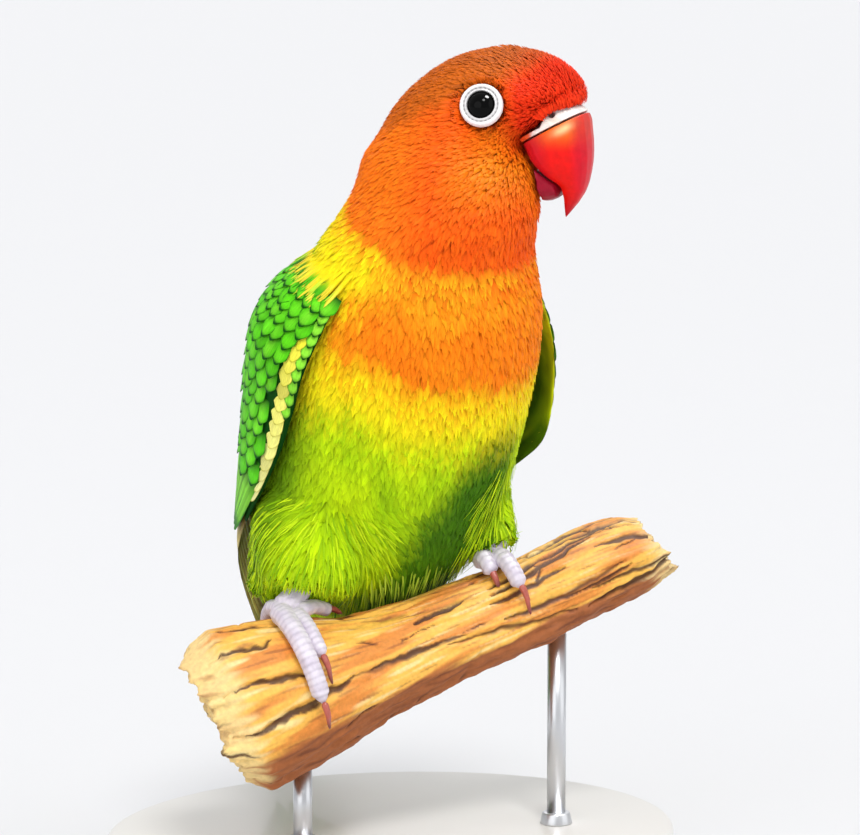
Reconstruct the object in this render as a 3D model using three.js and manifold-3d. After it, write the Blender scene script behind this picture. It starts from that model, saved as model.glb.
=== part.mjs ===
// A small parrot with white eye rings, life size, standing on a short cut length of branch.
// Two rods hold the branch over a flat base. Units are millimetres and +Z is up.
// The chest faces -Y, so +X is the bird's left. The origin is the middle of the base's underside.
// Everything above the base is drawn from one spot, the branch's middle under the feet.
import * as THREE from "three";
import { mergeVertices } from "three/addons/utils/BufferGeometryUtils.js";
import Module from "manifold-3d";

const wasm = await Module();
wasm.setup();

// Driving dimensions
const gap = 0.3;
const branchHeight = 41;
const branchForward = -8;
const base = { length: 98, width: 84, height: 8, edge: 1.2 };
const rod = { radius: 1.6, places: [-19, 27] };
const branch = {
  length: 82,
  middle: [5.5, 1.5],
  slope: 17,
  thickness: [29, 27.4, 23.6, 19, 16.8, 15.7, 15.1, 15.4, 15, 13.6],
  sag: [1, 0.7, -0.3, -1.1, -1.2, -1, -0.8, -0.1, 0.5, 0.5],
  depthShare: 0.92,
  endSlant: 2.5,
  splinter: 1.7,
};
const tailLength = 47;
const tailSlope = 50;
const vaneThickness = 0.52;

// Sections of the body from under the tail up to the crown, each an egg across the body's length.
// turn is how far its front looks to the bird's left, tilt how far it looks down.
const bodySections = {
  x: [-2, -2, -2, -2, -2, -2, -2, -1.6, -0.4, 1.8, 3, 5, 6.6, 7.6, 8.4, 9.8, 11],
  y: [31.5, 26, 20.5, 15.5, 9.5, 3, -4, -8.5, -11.5, -13.2, -13.6, -13.8, -14, -14, -14.2, -15, -15.9],
  z: [-2.5, 3, 8, 14.5, 24, 37, 51, 60, 68.5, 75, 81, 85.5, 88.8, 91.8, 95.2, 98.9, 100.8],
  halfWidth: [0, 8, 14, 18.5, 21.5, 22.6, 22.8, 21.2, 18, 15.2, 13.8, 12.9, 12.5, 12.1, 10.8, 7.8, 0],
  frontDepth: [0, 7, 11, 14, 17.5, 19.5, 19.5, 17.8, 14.5, 15.2, 13.4, 9.4, 9.8, 17, 15.6, 9.2, 0],
  backDepth: [0, 7, 11, 14.5, 17.5, 18, 18, 17, 15.5, 16.6, 16.3, 15.5, 15.2, 14, 11.2, 6.8, 0],
  turn: [0, 0, 0, 0, 0, 0, 0, 0, 8, 22, 36, 45, 50, 50, 50, 50, 50],
  tilt: [42, 40, 34, 29, 27, 26, 26, 24, 18, 11, 5, 1, 0, 0, 0, 0, 0],
};
const bodyAround = 32;
const bodyRings = 42;

// The head's own frame: its middle, and the way it faces.
const headMiddle = new THREE.Vector3(8.3, -14, 89.5);
const headTurn = 50;
const eye = { share: 0.808, angle: 79, ballRadius: 2.7, sunk: 1.75 };
const eyeRing = { outer: 3.45, inner: 2.1, thickness: 1.6 };
const bill = {
  ridge: [
    [10.5, 2.2], [14.5, 1.9], [16.7, 0.4], [17.3, -2.4],
    [17.5, -5.6], [17.3, -9], [16.3, -12.6], [13.1, -17],
  ],
  edge: [
    [3.6, -2.6], [5.4, -3.8], [6.9, -5], [7.8, -6.9],
    [9.2, -8.9], [11, -10.4], [12.8, -11.8], [13, -16.9],
  ],
  halfWidth: [5.6, 6, 6, 5.9, 5.3, 4.2, 2.7, 0.3],
  squareSide: -1,
};
const lowerBill = {
  rim: [[3, -5], [6.4, -6.6], [9.6, -8.8], [12.4, -11.2]],
  keel: [[3, -11.6], [7, -13.4], [10.4, -14.1], [12.7, -13.2]],
  halfWidth: [4.4, 5, 4.5, 2.6],
  squareSide: 1,
};
// The face swells beside the bill's root, and laps over the ends of the cere.
const lore = { middle: [4.5, 5, 1], radii: [7.2, 6, 4.8] };
const cereEdge = { forward: 12.7, up: -1.6, rise: 0.53 };
const nostril = { forward: 12.1, out: 5, up: 0, radius: 0.6 };

// The folded wings lie on a surface that follows the body and runs on beside the tail.
const foldSections = {
  x: [-1.2, -1.6, -2, -2, -2, -2, -2, -2, -2, -2, -2, -2],
  y: [-10, -8, -5, -0.8, 2.6, 6.2, 10.1, 14.6, 19, 24, 30.5, 37.5],
  z: [63.6, 59, 53, 45.5, 38, 30.5, 23, 16, 9.5, 2, -7, -16],
  halfWidth: [19.4, 22.4, 24.5, 24.3, 23.9, 23.5, 22.7, 21.8, 20.9, 19.8, 17.6, 15],
  depth: [15.8, 17, 17.8, 18, 18, 17.8, 17.4, 16, 14, 11.6, 9.4, 8.6],
  tilt: [20, 24, 26, 26, 26.5, 27, 27, 30, 33, 38, 40, 40],
};
// Each wing's front edge, from the shoulder to the tip, as an angle from the breast, and how far
// it stands off the flank there.
const wings = {
  left: {
    side: 1,
    leading: [116, 110, 98, 80, 73, 86, 106, 117, 126, 136, 147, 158],
    standOff: [0, 0, 0.3, 1.3, 1.7, 0.4, 0, 0, 0, 0, 0, 0],
  },
  right: {
    side: -1,
    leading: [58, 57, 58, 60, 65, 73, 85, 99, 113, 126, 141, 155],
    standOff: [0, 0, 0, 0, 0, 0, 0, 0, 0, 0, 0, 0],
  },
};
const wingTrailing = [112, 128, 147, 160, 168, 173, 175, 176, 176.5, 176, 175, 171];
// The tiers of wing feathers, from the tip up to the shoulder. root and tip give the first and the
// last feather's place: how far down the wing, and how far across it from its front edge. lifts are
// the heights of a feather's root and tip, and tilt is how much higher one of its edges lies.
const wingTiers = [
  {
    count: 6,
    root: [[0.46, 0.16], [0.44, 0.52]],
    tip: [[0.97, 0.4], [0.76, 0.56]],
    width: 5.2,
    rows: 3,
    round: 0.03,
    lifts: [-0.5, 1.1],
    tilt: 0.42,
  },
  {
    count: 6,
    root: [[0.37, 0.2], [0.4, 0.86]],
    tip: [[0.6, 0.16], [0.72, 0.88]],
    width: 6.4,
    rows: 3,
    round: 0.05,
    lifts: [-0.4, 1.6],
    tilt: 0.4,
  },
  {
    count: 6,
    root: [[0.27, 0.22], [0.3, 0.88]],
    tip: [[0.45, 0.2], [0.51, 0.88]],
    width: 6.2,
    rows: 2,
    round: 0.14,
    lifts: [-0.3, 1.9],
    tilt: 0.3,
  },
  {
    count: 5,
    root: [[0.17, 0.25], [0.19, 0.87]],
    tip: [[0.33, 0.22], [0.38, 0.88]],
    width: 6.6,
    rows: 2,
    round: 0.16,
    lifts: [-0.3, 2.5],
    tilt: 0.3,
  },
];
// The tail's feathers in pairs from the outermost in, and the coverts over their roots.
const tailTiers = [
  {
    pairs: 5,
    reach: [0.78, 0.97],
    spread: [7.2, 1.9],
    rootSpread: [3.2, 0.9],
    width: 5.2,
    from: 0,
    layers: [-1.35, 0.85],
    lift: 0,
    rows: 2,
    round: 0.04,
  },
  {
    pairs: 2,
    reach: [0.4, 0.5],
    spread: [5, 1.8],
    rootSpread: [3.4, 1.3],
    width: 5.6,
    from: -0.06,
    layers: [0.6, 1],
    lift: 0.7,
    rows: 2,
    round: 0.1,
  },
];

const legs = [
  {
    name: "left",
    side: 1,
    x: 16.4,
    ankle: [16.6, 1.2, 17.6],
    thigh: { path: [[12, 9, 34], [14.6, 6, 25], [16.8, 1.8, 14.6]], radii: [7, 7, 5.6, 4.4, 3.2] },
  },
  {
    name: "right",
    side: -1,
    x: -19.4,
    ankle: [-19, 1, 10.5],
    thigh: { path: [[-13, 8, 32], [-15.5, 4, 19], [-17, 2.5, 9]], radii: [8, 10, 10.4, 9.6, 8] },
  },
];
// Each toe goes from start to end. The first number of each is an angle round the branch, from its
// top to its front, and the second is how far along the branch it is from the leg.
const toes = {
  left: [
    { start: [-12, -0.6], end: [-70, -3], radius: 1.2, arch: 0.8 },
    { start: [-8, -0.4], end: [24, -0.6], radius: 1.35, arch: 1.9 },
    { start: [-8, 1.8], end: [56, 2.3], radius: 1.45, arch: 1.5 },
    { start: [-12, 1.6], end: [-80, 6], radius: 1.35, arch: 0.8 },
  ],
  right: [
    { start: [10, 2], end: [-10, 9], radius: 1.15, arch: 1 },
    { start: [8, 2.2], end: [58, 2.2], radius: 1.3, arch: 0.7 },
    { start: [0, 0], end: [90, -0.6], radius: 1.6, arch: 0.5 },
    { start: [36, 0.6], end: [-70, 0.6], radius: 1.35, arch: 0.6 },
  ],
};
const claw = { length: 4.6, radius: 0.72 };
const shankRadius = 2;

// Small helpers
const degrees = THREE.MathUtils.degToRad;
const vector = (x, y, z) => new THREE.Vector3(x, y, z);

// A smooth value between evenly spaced knots, where share runs from 0 to 1.
function between(knots, share) {
  const place = THREE.MathUtils.clamp(share, 0, 1) * (knots.length - 1);
  const left = Math.min(Math.floor(place), knots.length - 2);
  const t = place - left;
  const knot = (i) => knots[THREE.MathUtils.clamp(i, 0, knots.length - 1)];
  const startSlope = (knot(left + 1) - knot(left - 1)) / 2;
  const endSlope = (knot(left + 2) - knot(left)) / 2;
  const rise = knot(left + 1) - knot(left);
  return (
    knot(left) + startSlope * t + (3 * rise - 2 * startSlope - endSlope) * t * t +
    (startSlope + endSlope - 2 * rise) * t ** 3
  );
}

// A three.js geometry as a manifold-3d solid with its faces pointing out.
function toSolid(geometry) {
  const bare = geometry.clone();
  bare.deleteAttribute("normal");
  bare.deleteAttribute("uv");
  const merged = mergeVertices(bare, 1e-4);
  const corners = merged.index.array;
  const kept = [];
  for (let i = 0; i < corners.length; i += 3) {
    const [a, b, c] = [corners[i], corners[i + 1], corners[i + 2]];
    if (a !== b && b !== c && c !== a) kept.push(a, b, c);
  }
  const make = (triangles) =>
    new wasm.Manifold(
      new wasm.Mesh({
        numProp: 3,
        vertProperties: merged.attributes.position.array,
        triVerts: new Uint32Array(triangles),
      }),
    );
  const solid = make(kept);
  return solid.volume() < 0 ? make(kept.reverse()) : solid;
}

const largest = (solid) => solid.decompose().reduce((a, b) => (b.volume() > a.volume() ? b : a));
const joined = (solids) => solids.reduce((a, b) => a.add(b));

function toGeometry(solid) {
  const mesh = solid.getMesh();
  const geometry = new THREE.BufferGeometry();
  geometry.setAttribute("position", new THREE.BufferAttribute(mesh.vertProperties, 3));
  geometry.setIndex(new THREE.BufferAttribute(mesh.triVerts, 1));
  geometry.computeVertexNormals();
  return geometry;
}

// A closed form wrapped round a line: place gives the point at a share of its length and an angle.
function closedForm(around, rings, place) {
  const geometry = new THREE.SphereGeometry(1, around, rings);
  const { position, uv } = geometry.attributes;
  for (let i = 0; i < position.count; i++) {
    const share = 1 - uv.getY(i);
    const turnShare = Math.round((uv.getX(i) % 1) * around * 2) / (around * 2);
    const atEnd = share < 1e-6 || share > 1 - 1e-6;
    const point = place(share, atEnd ? 0 : (turnShare % 1) * 2 * Math.PI);
    position.setXYZ(i, point.x, point.y, point.z);
  }
  return toSolid(geometry);
}

// A round tube along a curve with rounded ends. upAt gives the direction that its first angle faces.
function roundedTube(curve, radiusAt, around, rings, upAt) {
  return closedForm(around, rings, (share, angle) => {
    const eased = (1 - Math.cos(share * Math.PI)) / 2;
    const along = 0.35 * eased + 0.65 * share;
    const centre = curve.getPoint(along);
    const tangent = curve.getTangent(along);
    const up = upAt(along).addScaledVector(tangent, -upAt(along).dot(tangent)).normalize();
    const across = tangent.clone().cross(up);
    const nearEnd = Math.min(1, Math.min(along, 1 - along) / 0.09);
    const radius = radiusAt(along) * Math.sqrt(1 - (1 - nearEnd) ** 2);
    return centre
      .addScaledVector(up, Math.cos(angle) * radius)
      .addScaledVector(across, Math.sin(angle) * radius);
  });
}

// A thin closed sheet. place gives a point and its normal, both faces are split alike.
function sheet(columns, rows, thickness, place) {
  const plane = new THREE.PlaneGeometry(1, 1, columns, rows);
  const count = plane.attributes.position.count;
  const points = new Float32Array(count * 6);
  for (let i = 0; i < count; i++) {
    const across = plane.attributes.uv.getX(i) * 2 - 1;
    const down = 1 - plane.attributes.uv.getY(i);
    const { point, normal } = place(across, down);
    const half = thickness(across, down) / 2;
    const upper = point.clone().addScaledVector(normal, half);
    const lower = point.clone().addScaledVector(normal, -half);
    points.set(upper.toArray(), i * 3);
    points.set(lower.toArray(), (count + i) * 3);
  }
  const triangles = [];
  const corners = plane.index.array;
  for (let i = 0; i < corners.length; i += 3) {
    const [a, b, c] = [corners[i], corners[i + 1], corners[i + 2]];
    triangles.push(a, b, c, a + count, c + count, b + count);
  }
  const rim = [];
  for (let c = 0; c < columns; c++) rim.push(c);
  for (let r = 0; r < rows; r++) rim.push(r * (columns + 1) + columns);
  for (let c = columns; c > 0; c--) rim.push(rows * (columns + 1) + c);
  for (let r = rows; r > 0; r--) rim.push(r * (columns + 1));
  rim.forEach((a, i) => {
    const b = rim[(i + 1) % rim.length];
    triangles.push(a, b, b + count, a, b + count, a + count);
  });
  const geometry = new THREE.BufferGeometry();
  geometry.setAttribute("position", new THREE.BufferAttribute(points, 3));
  geometry.setIndex(triangles);
  return toSolid(geometry);
}

// Materials
const finish = (color, roughness, metalness = 0) =>
  new THREE.MeshStandardMaterial({ color, roughness, metalness });
const orangePlumage = finish("#e8681a", 0.85);
const yellowPlumage = finish("#f0b51c", 0.85);
const greenPlumage = finish("#8ab71c", 0.85);
const wingGreen = finish("#3f9c22", 0.75);
const tailGreen = finish("#2f7a2c", 0.75);
const bareSkin = finish("#efeaea", 0.55);
const redHorn = finish("#d42a26", 0.3);
const eyeBlack = finish("#0c0a0a", 0.08);
const greySkin = finish("#d9d3dc", 0.6);
const clawHorn = finish("#9c4a40", 0.35);
const wood = finish("#d9973f", 0.85);
const paleLacquer = finish("#e6e2da", 0.4);
const steel = finish("#b8bbbf", 0.3, 1);

// The body as one form, drawn section by section
function bodySection(share) {
  const value = (name) => between(bodySections[name], share);
  const turn = degrees(value("turn"));
  const tilt = degrees(value("tilt"));
  const ahead = vector(Math.sin(turn), -Math.cos(turn), 0);
  return {
    centre: vector(value("x"), value("y"), value("z")),
    side: vector(Math.cos(turn), Math.sin(turn), 0),
    front: ahead.multiplyScalar(Math.cos(tilt)).add(vector(0, 0, -Math.sin(tilt))),
    halfWidth: Math.max(0, value("halfWidth")),
    frontDepth: Math.max(0, value("frontDepth")),
    backDepth: Math.max(0, value("backDepth")),
  };
}

// A point on a section, at an angle from its front towards the bird's left, raised by lift.
function onSection(section, angle, lift) {
  const depth = Math.cos(angle) > 0 ? section.frontDepth : section.backDepth;
  return section.centre
    .clone()
    .addScaledVector(section.side, Math.sin(angle) * (section.halfWidth + lift))
    .addScaledVector(section.front, Math.cos(angle) * (depth + lift));
}

function wholeBody(lift) {
  return closedForm(bodyAround, bodyRings, (share, angle) => {
    const section = bodySection(share);
    const length = section.side.clone().cross(section.front).negate();
    const endLift = lift * Math.sign(share - 0.5) * Math.abs(2 * share - 1) ** 6;
    section.centre.addScaledVector(length, endLift);
    const atEnd = share < 1e-6 || share > 1 - 1e-6;
    return atEnd ? section.centre : onSection(section, angle, lift);
  });
}

const headFrame = new THREE.Matrix4().makeBasis(
  vector(Math.sin(degrees(headTurn)), -Math.cos(degrees(headTurn)), 0),
  vector(Math.cos(degrees(headTurn)), Math.sin(degrees(headTurn)), 0),
  vector(0, 0, 1),
);
headFrame.setPosition(headMiddle);
const inHead = (forward, left, up) => vector(forward, left, up).applyMatrix4(headFrame);

// A flat cut as wide as the gap, through a point and across a direction.
function thinCut(point, direction) {
  const slab = new THREE.BoxGeometry(90, 90, gap);
  const turned = new THREE.Quaternion().setFromUnitVectors(vector(0, 0, 1), direction.clone().normalize());
  slab.applyQuaternion(turned).translate(point.x, point.y, point.z);
  return toSolid(slab);
}

// Bill, cere, eyes and rings, in the head's frame. The half of a bill that meets the other half is
// squarer across, so that its cutting edges stand out to the sides.
function billForm(shape, grow, around, rings) {
  const curve = (points) => new THREE.CatmullRomCurve3(points.map(([f, u]) => vector(f, 0, u)));
  const [top, bottom] = Object.values(shape).slice(0, 2).map(curve);
  return closedForm(around, rings, (share, angle) => {
    const eased = 0.5 - Math.cos(share * Math.PI) / 2;
    const along = 0.4 * eased + 0.6 * share;
    const upper = top.getPoint(along);
    const lower = bottom.getPoint(along);
    const centre = upper.clone().add(lower).divideScalar(2);
    const reach = upper.clone().sub(centre);
    const endEase = Math.sqrt(1 - (1 - Math.min(1, Math.min(along, 1 - along) / 0.06)) ** 2);
    const height = (reach.length() + grow) * endEase;
    const width = (between(shape.halfWidth, along) + grow) * endEase;
    const square = Math.cos(angle) * shape.squareSide > 0;
    const across = Math.sign(Math.sin(angle)) * Math.abs(Math.sin(angle)) ** (square ? 0.4 : 0.82);
    const rise = Math.sign(Math.cos(angle)) * Math.abs(Math.cos(angle)) ** (square ? 0.6 : 1);
    return centre
      .addScaledVector(reach.normalize(), rise * height)
      .add(vector(0, across * width, 0))
      .applyMatrix4(headFrame);
  });
}

function loreForm(side, grow) {
  const swelling = new THREE.SphereGeometry(1, 10, 8);
  const [ahead, out, up] = lore.middle;
  const [long, wide, tall] = lore.radii.map((radius) => radius + grow);
  swelling.scale(long, wide, tall).translate(ahead, side * out, up);
  return toSolid(swelling.applyMatrix4(headFrame));
}

function eyeMatrix(side) {
  const spot = (share, angle) => onSection(bodySection(share), side * degrees(angle), 0);
  const placed = spot(eye.share, eye.angle);
  const up = spot(eye.share + 0.02, eye.angle).sub(spot(eye.share - 0.02, eye.angle));
  const back = spot(eye.share, eye.angle + 8).sub(spot(eye.share, eye.angle - 8));
  const outward = up.cross(back).multiplyScalar(-side).normalize();
  const turned = new THREE.Quaternion().setFromUnitVectors(vector(0, 0, 1), outward);
  return new THREE.Matrix4().compose(placed, turned, vector(1, 1, 1));
}

function eyeBall(side, grow) {
  const ball = new THREE.SphereGeometry(eye.ballRadius + grow, 14, 9);
  return toSolid(ball.translate(0, 0, -eye.sunk).applyMatrix4(eyeMatrix(side)));
}

// A shallow ring of bare skin with rounded lids at its inner rim.
function ringForm(side, grow) {
  const { outer, inner, thickness } = eyeRing;
  const corners = [
    [inner - grow, -thickness - grow],
    [outer + grow, -thickness - grow],
    [outer + grow, -0.15 + grow],
    [outer - 0.6, 0.25 + grow],
    [inner + 0.75, 0.2 + grow],
    [inner + 0.35, 0.55 + grow],
    [inner - grow, 0.4 + grow],
  ].map(([r, z]) => new THREE.Vector2(r, z));
  const lathe = new THREE.LatheGeometry([...corners, corners[0]], 14);
  return toSolid(lathe.rotateX(Math.PI / 2).applyMatrix4(eyeMatrix(side)));
}

function nostrilHole(side) {
  const hole = new THREE.CylinderGeometry(nostril.radius, nostril.radius, 3, 8);
  const outward = vector(0.35, side * 0.8, 0.5).normalize();
  hole.applyQuaternion(new THREE.Quaternion().setFromUnitVectors(vector(0, 1, 0), outward));
  hole.translate(nostril.forward, side * nostril.out, nostril.up);
  return toSolid(hole.applyMatrix4(headFrame));
}

// The branch
const branchSlope = degrees(branch.slope);
const branchAlong = vector(Math.cos(branchSlope), 0, Math.sin(branchSlope));
const branchUp = vector(-Math.sin(branchSlope), 0, Math.cos(branchSlope));
const branchMiddle = vector(branch.middle[0], 0, branch.middle[1]);
const branchShareAt = (x) => (x - branchMiddle.x) / Math.cos(branchSlope) / branch.length + 0.5;

function onBranch(share, angle, lift) {
  const half = between(branch.thickness, share) / 2;
  return branchMiddle
    .clone()
    .addScaledVector(branchAlong, (share - 0.5) * branch.length)
    .addScaledVector(branchUp, between(branch.sag, share) + Math.cos(angle) * (half + lift))
    .addScaledVector(vector(0, -1, 0), Math.sin(angle) * (half * branch.depthShare + lift));
}

// Long shallow ribs of grain that fade in and out along the wood.
function grain(share, angle) {
  const ribs = Math.sin(angle * 7 + share * 5) * 0.28 + Math.sin(angle * 3 - share * 9) * 0.34;
  return ribs * (0.6 + 0.4 * Math.sin(share * 13 + angle * 2));
}

function branchForm(lift) {
  const ends = 0.07;
  return closedForm(24, 18, (share, angle) => {
    const inner = THREE.MathUtils.clamp((share - ends) / (1 - 2 * ends), 0, 1);
    const capShare = Math.min(1, Math.min(share, 1 - share) / ends);
    const rim = Math.min(1, capShare * 1.02);
    const point = onBranch(inner, angle, lift + grain(inner, angle));
    const axis = onBranch(inner, angle, 0).add(onBranch(inner, angle + Math.PI, 0)).divideScalar(2);
    const outwards = share < 0.5 ? -1 : 1;
    const jag = Math.sin(angle * 5 + 1) * Math.sin(angle * 2.5 + share) * branch.splinter;
    const slanted = -Math.cos(angle) * branch.endSlant;
    const nearEnd = Math.max(0, 1 - Math.min(inner, 1 - inner) / 0.08);
    const push = (slanted + outwards * (Math.max(0, jag) + lift)) * nearEnd;
    const made = axis.lerp(point, rim);
    return made.addScaledVector(branchAlong, push * rim);
  });
}

// Legs and feet
function footPath(leg, toe) {
  const points = [0, 0.25, 0.5, 0.75, 1].map((t) => {
    const angle = degrees(THREE.MathUtils.lerp(toe.start[0], toe.end[0], t));
    const x = leg.x + THREE.MathUtils.lerp(toe.start[1], toe.end[1], t ** 0.8);
    const lift = toe.radius * 0.9 + toe.arch * Math.sin(Math.PI * Math.min(1, t * 1.1));
    return onBranch(branchShareAt(x), angle, lift);
  });
  return new THREE.CatmullRomCurve3(points);
}

const awayFromBranch = (point) => {
  const axis = onBranch(branchShareAt(point.x), Math.PI / 2, 0);
  return point.clone().sub(vector(point.x, 0, axis.z)).normalize();
};

function footForm(leg, grow) {
  const tubes = toes[leg.name].map((toe) => {
    const path = footPath(leg, toe);
    const radius = (share) => toe.radius * (1.08 - 0.2 * share) + grow;
    return roundedTube(path, radius, 8, 8, (share) => awayFromBranch(path.getPoint(share)));
  });
  const pad = onBranch(branchShareAt(leg.x), 0, 1);
  const ankle = vector(...leg.ankle);
  const shank = new THREE.CatmullRomCurve3([pad, ankle, ankle.clone().add(vector(0, 1.5, 5))]);
  tubes.push(roundedTube(shank, () => shankRadius + grow, 9, 6, () => vector(0, -1, 0.1)));
  return joined(tubes);
}

function clawForm(leg, toe) {
  const path = footPath(leg, toe);
  const tip = path.getPoint(1);
  const ahead = path.getTangent(1);
  const away = awayFromBranch(tip);
  const at = (forward, up) => tip.clone().addScaledVector(ahead, forward).addScaledVector(away, up);
  const inward = -toe.radius;
  const curve = new THREE.CatmullRomCurve3([
    at(-0.9, 0.25),
    at(claw.length * 0.35, 0.4),
    at(claw.length * 0.72, -0.15 + inward * 0.3),
    at(claw.length, inward * 0.75),
  ]);
  const radius = (share) => claw.radius * (1 - 0.72 * share);
  return roundedTube(curve, radius, 6, 7, () => away);
}

function thighForm(leg, grow) {
  const path = new THREE.CatmullRomCurve3(leg.thigh.path.map((point) => vector(...point)));
  const radius = (share) => between(leg.thigh.radii, share) + grow;
  return roundedTube(path, radius, 16, 10, () => vector(0, -1, 0.4));
}

// Wings
function foldPoint(down, angle, lift, side) {
  const value = (name) => between(foldSections[name], down);
  const tilt = degrees(value("tilt"));
  const section = {
    centre: vector(value("x"), value("y"), value("z")),
    side: vector(1, 0, 0),
    front: vector(0, -Math.cos(tilt), -Math.sin(tilt)),
    halfWidth: value("halfWidth"),
    frontDepth: value("depth"),
    backDepth: value("depth"),
  };
  return onSection(section, side * degrees(angle), lift);
}

function foldSpot(down, angle, lift, side) {
  const point = foldPoint(down, angle, lift, side);
  const normal = foldPoint(down, angle, lift + 1, side).sub(point).normalize();
  return { point, normal };
}

function wingSpot(wing, down, across, lift) {
  const angle = THREE.MathUtils.lerp(between(wing.leading, down), between(wingTrailing, down), across);
  const standOff = between(wing.standOff, down) * (1 - across);
  return foldSpot(down, angle, lift + standOff, wing.side);
}

// The wing under its feathers, fuller at the shoulder. The vanes are rooted in it.
function wingCore(wing) {
  const outerFace = (down) => 0.6 + 1.9 * Math.max(0, 1 - down / 0.45);
  const thickness = (across, down) => outerFace(down) + 1.3 - 0.9 * down;
  return sheet(5, 11, thickness, (across, down) => {
    const { point, normal } = wingSpot(wing, 0.96 * down, (across + 1) / 2, 0);
    return { point: point.addScaledVector(normal, outerFace(down) - thickness(across, down) / 2), normal };
  });
}

// A vane's half width and place along its length: it narrows at the root and rounds off at the tip.
const vaneShare = (across, down, round) => {
  const outline = between([0.7, 0.94, 1, 0.94, 0.5], down);
  return { outline, along: down ** 0.75 + (down > 0.99 ? round * (1 - across * across) : 0) };
};
const vaneDepth = (across, down) => vaneThickness * (down > 0.9 ? 0.6 : 1);

// A wing vane starts inside the wing and its tip rides over the next tier. One edge lies higher.
function wingVane(wing, tier, share) {
  const pick = ([first, last], i) => THREE.MathUtils.lerp(first[i], last[i], share);
  const root = [pick(tier.root, 0), pick(tier.root, 1)];
  const tip = [pick(tier.tip, 0), pick(tier.tip, 1)];
  const at = (t, lift) =>
    wingSpot(wing, root[0] + (tip[0] - root[0]) * t, root[1] + (tip[1] - root[1]) * t, lift);
  return sheet(2, tier.rows, vaneDepth, (across, down) => {
    const { outline, along } = vaneShare(across, down, tier.round);
    const risen = 1 - (1 - Math.min(1, along)) ** 2;
    const { point, normal } = at(along, THREE.MathUtils.lerp(tier.lifts[0], tier.lifts[1], risen));
    const tangent = at(along + 0.02, 0).point.sub(at(along - 0.02, 0).point).normalize();
    const aside = normal.clone().cross(tangent).multiplyScalar(wing.side);
    const height = -0.15 * across * across + tier.tilt * across * Math.min(1, along * 3);
    point.addScaledVector(aside, (across * outline * tier.width) / 2).addScaledVector(normal, height);
    return { point, normal };
  });
}

function wingForm(wing) {
  const vanes = wingTiers.flatMap((tier) =>
    Array.from({ length: tier.count }, (_, i) => wingVane(wing, tier, i / (tier.count - 1))),
  );
  return largest(joined([wingCore(wing), ...vanes]));
}

const tailRoot = vector(-2, 27, 5);
const tailAlong = vector(0, Math.cos(degrees(tailSlope)), -Math.sin(degrees(tailSlope)));
const tailUp = vector(0, Math.sin(degrees(tailSlope)), Math.cos(degrees(tailSlope)));

function tailSpot(down, aside, lift) {
  return tailRoot
    .clone()
    .addScaledVector(tailAlong, tailLength * down)
    .add(vector(aside, 0, 0))
    .addScaledVector(tailUp, lift - 0.012 * aside * aside);
}

// The room the tail takes up, which the wings keep clear of.
function tailRoom() {
  return sheet(4, 4, () => 3.6, (across, down) => ({
    point: tailSpot(down * 1.1 - 0.1, across * (9.5 - down), 0.1),
    normal: tailUp,
  }));
}

function tailVane(tier, share, side) {
  const pick = ([outer, inner]) => THREE.MathUtils.lerp(outer, inner, share);
  return sheet(2, tier.rows, vaneDepth, (across, down) => {
    const { outline, along } = vaneShare(across, down, tier.round);
    const aside = THREE.MathUtils.lerp(pick(tier.rootSpread), pick(tier.spread), along) * side;
    const slant = -0.12 * across * side + (side > 0 ? 0.12 : -0.12);
    const lift = pick(tier.layers) + tier.lift * along + slant;
    const far = THREE.MathUtils.lerp(tier.from, pick(tier.reach), along);
    return { point: tailSpot(far, aside + (across * outline * tier.width) / 2, lift), normal: tailUp };
  });
}

function tailForm() {
  const core = sheet(2, 3, (across, down) => 3.2 - 2 * down, (across, down) => ({
    point: tailSpot(down * 0.42, across * (6 - down), -0.1),
    normal: tailUp,
  }));
  const vanes = tailTiers.flatMap((tier) =>
    Array.from({ length: tier.pairs }, (_, i) => i / (tier.pairs - 1)).flatMap((share) => [
      tailVane(tier, share, 1),
      tailVane(tier, share, -1),
    ]),
  );
  return largest(joined([core, ...vanes]));
}

// Assembly
const model = new THREE.Group();
const above = new THREE.Group();
above.position.set(0, branchForward, branchHeight);
model.add(above);

function place(name, solid, material, group = above) {
  const mesh = new THREE.Mesh(toGeometry(largest(solid)), material);
  mesh.name = name;
  group.add(mesh);
}

const bodyForm = (lift) => joined([wholeBody(lift), loreForm(1, lift), loreForm(-1, lift)]);
const bodyWhole = bodyForm(0);
const bodyGrown = bodyForm(gap);
const branchGrown = branchForm(gap);
const sides = [
  { name: "left", side: 1 },
  { name: "right", side: -1 },
];

const neckSection = bodySection(7.5 / 16);
const neckAxis = neckSection.side.clone().cross(neckSection.front);
const jawAxis = inHead(0.12, 0, -1).sub(headMiddle);
const sockets = joined(sides.flatMap(({ side }) => [eyeBall(side, gap), ringForm(side, gap)]));
const parted = bodyWhole
  .subtract(thinCut(neckSection.centre, neckAxis))
  .subtract(thinCut(inHead(0, 0, -14.6), jawAxis))
  .subtract(sockets)
  .subtract(branchGrown);
const height = (solid) => {
  const box = solid.boundingBox();
  return box.min[2] + box.max[2];
};
const [torso, neck, head] = parted
  .decompose()
  .sort((a, b) => b.volume() - a.volume())
  .slice(0, 3)
  .sort((a, b) => height(a) - height(b));
place("torso", torso, greenPlumage);
place("neck", neck, yellowPlumage);
place("head", head, orangePlumage);

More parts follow.
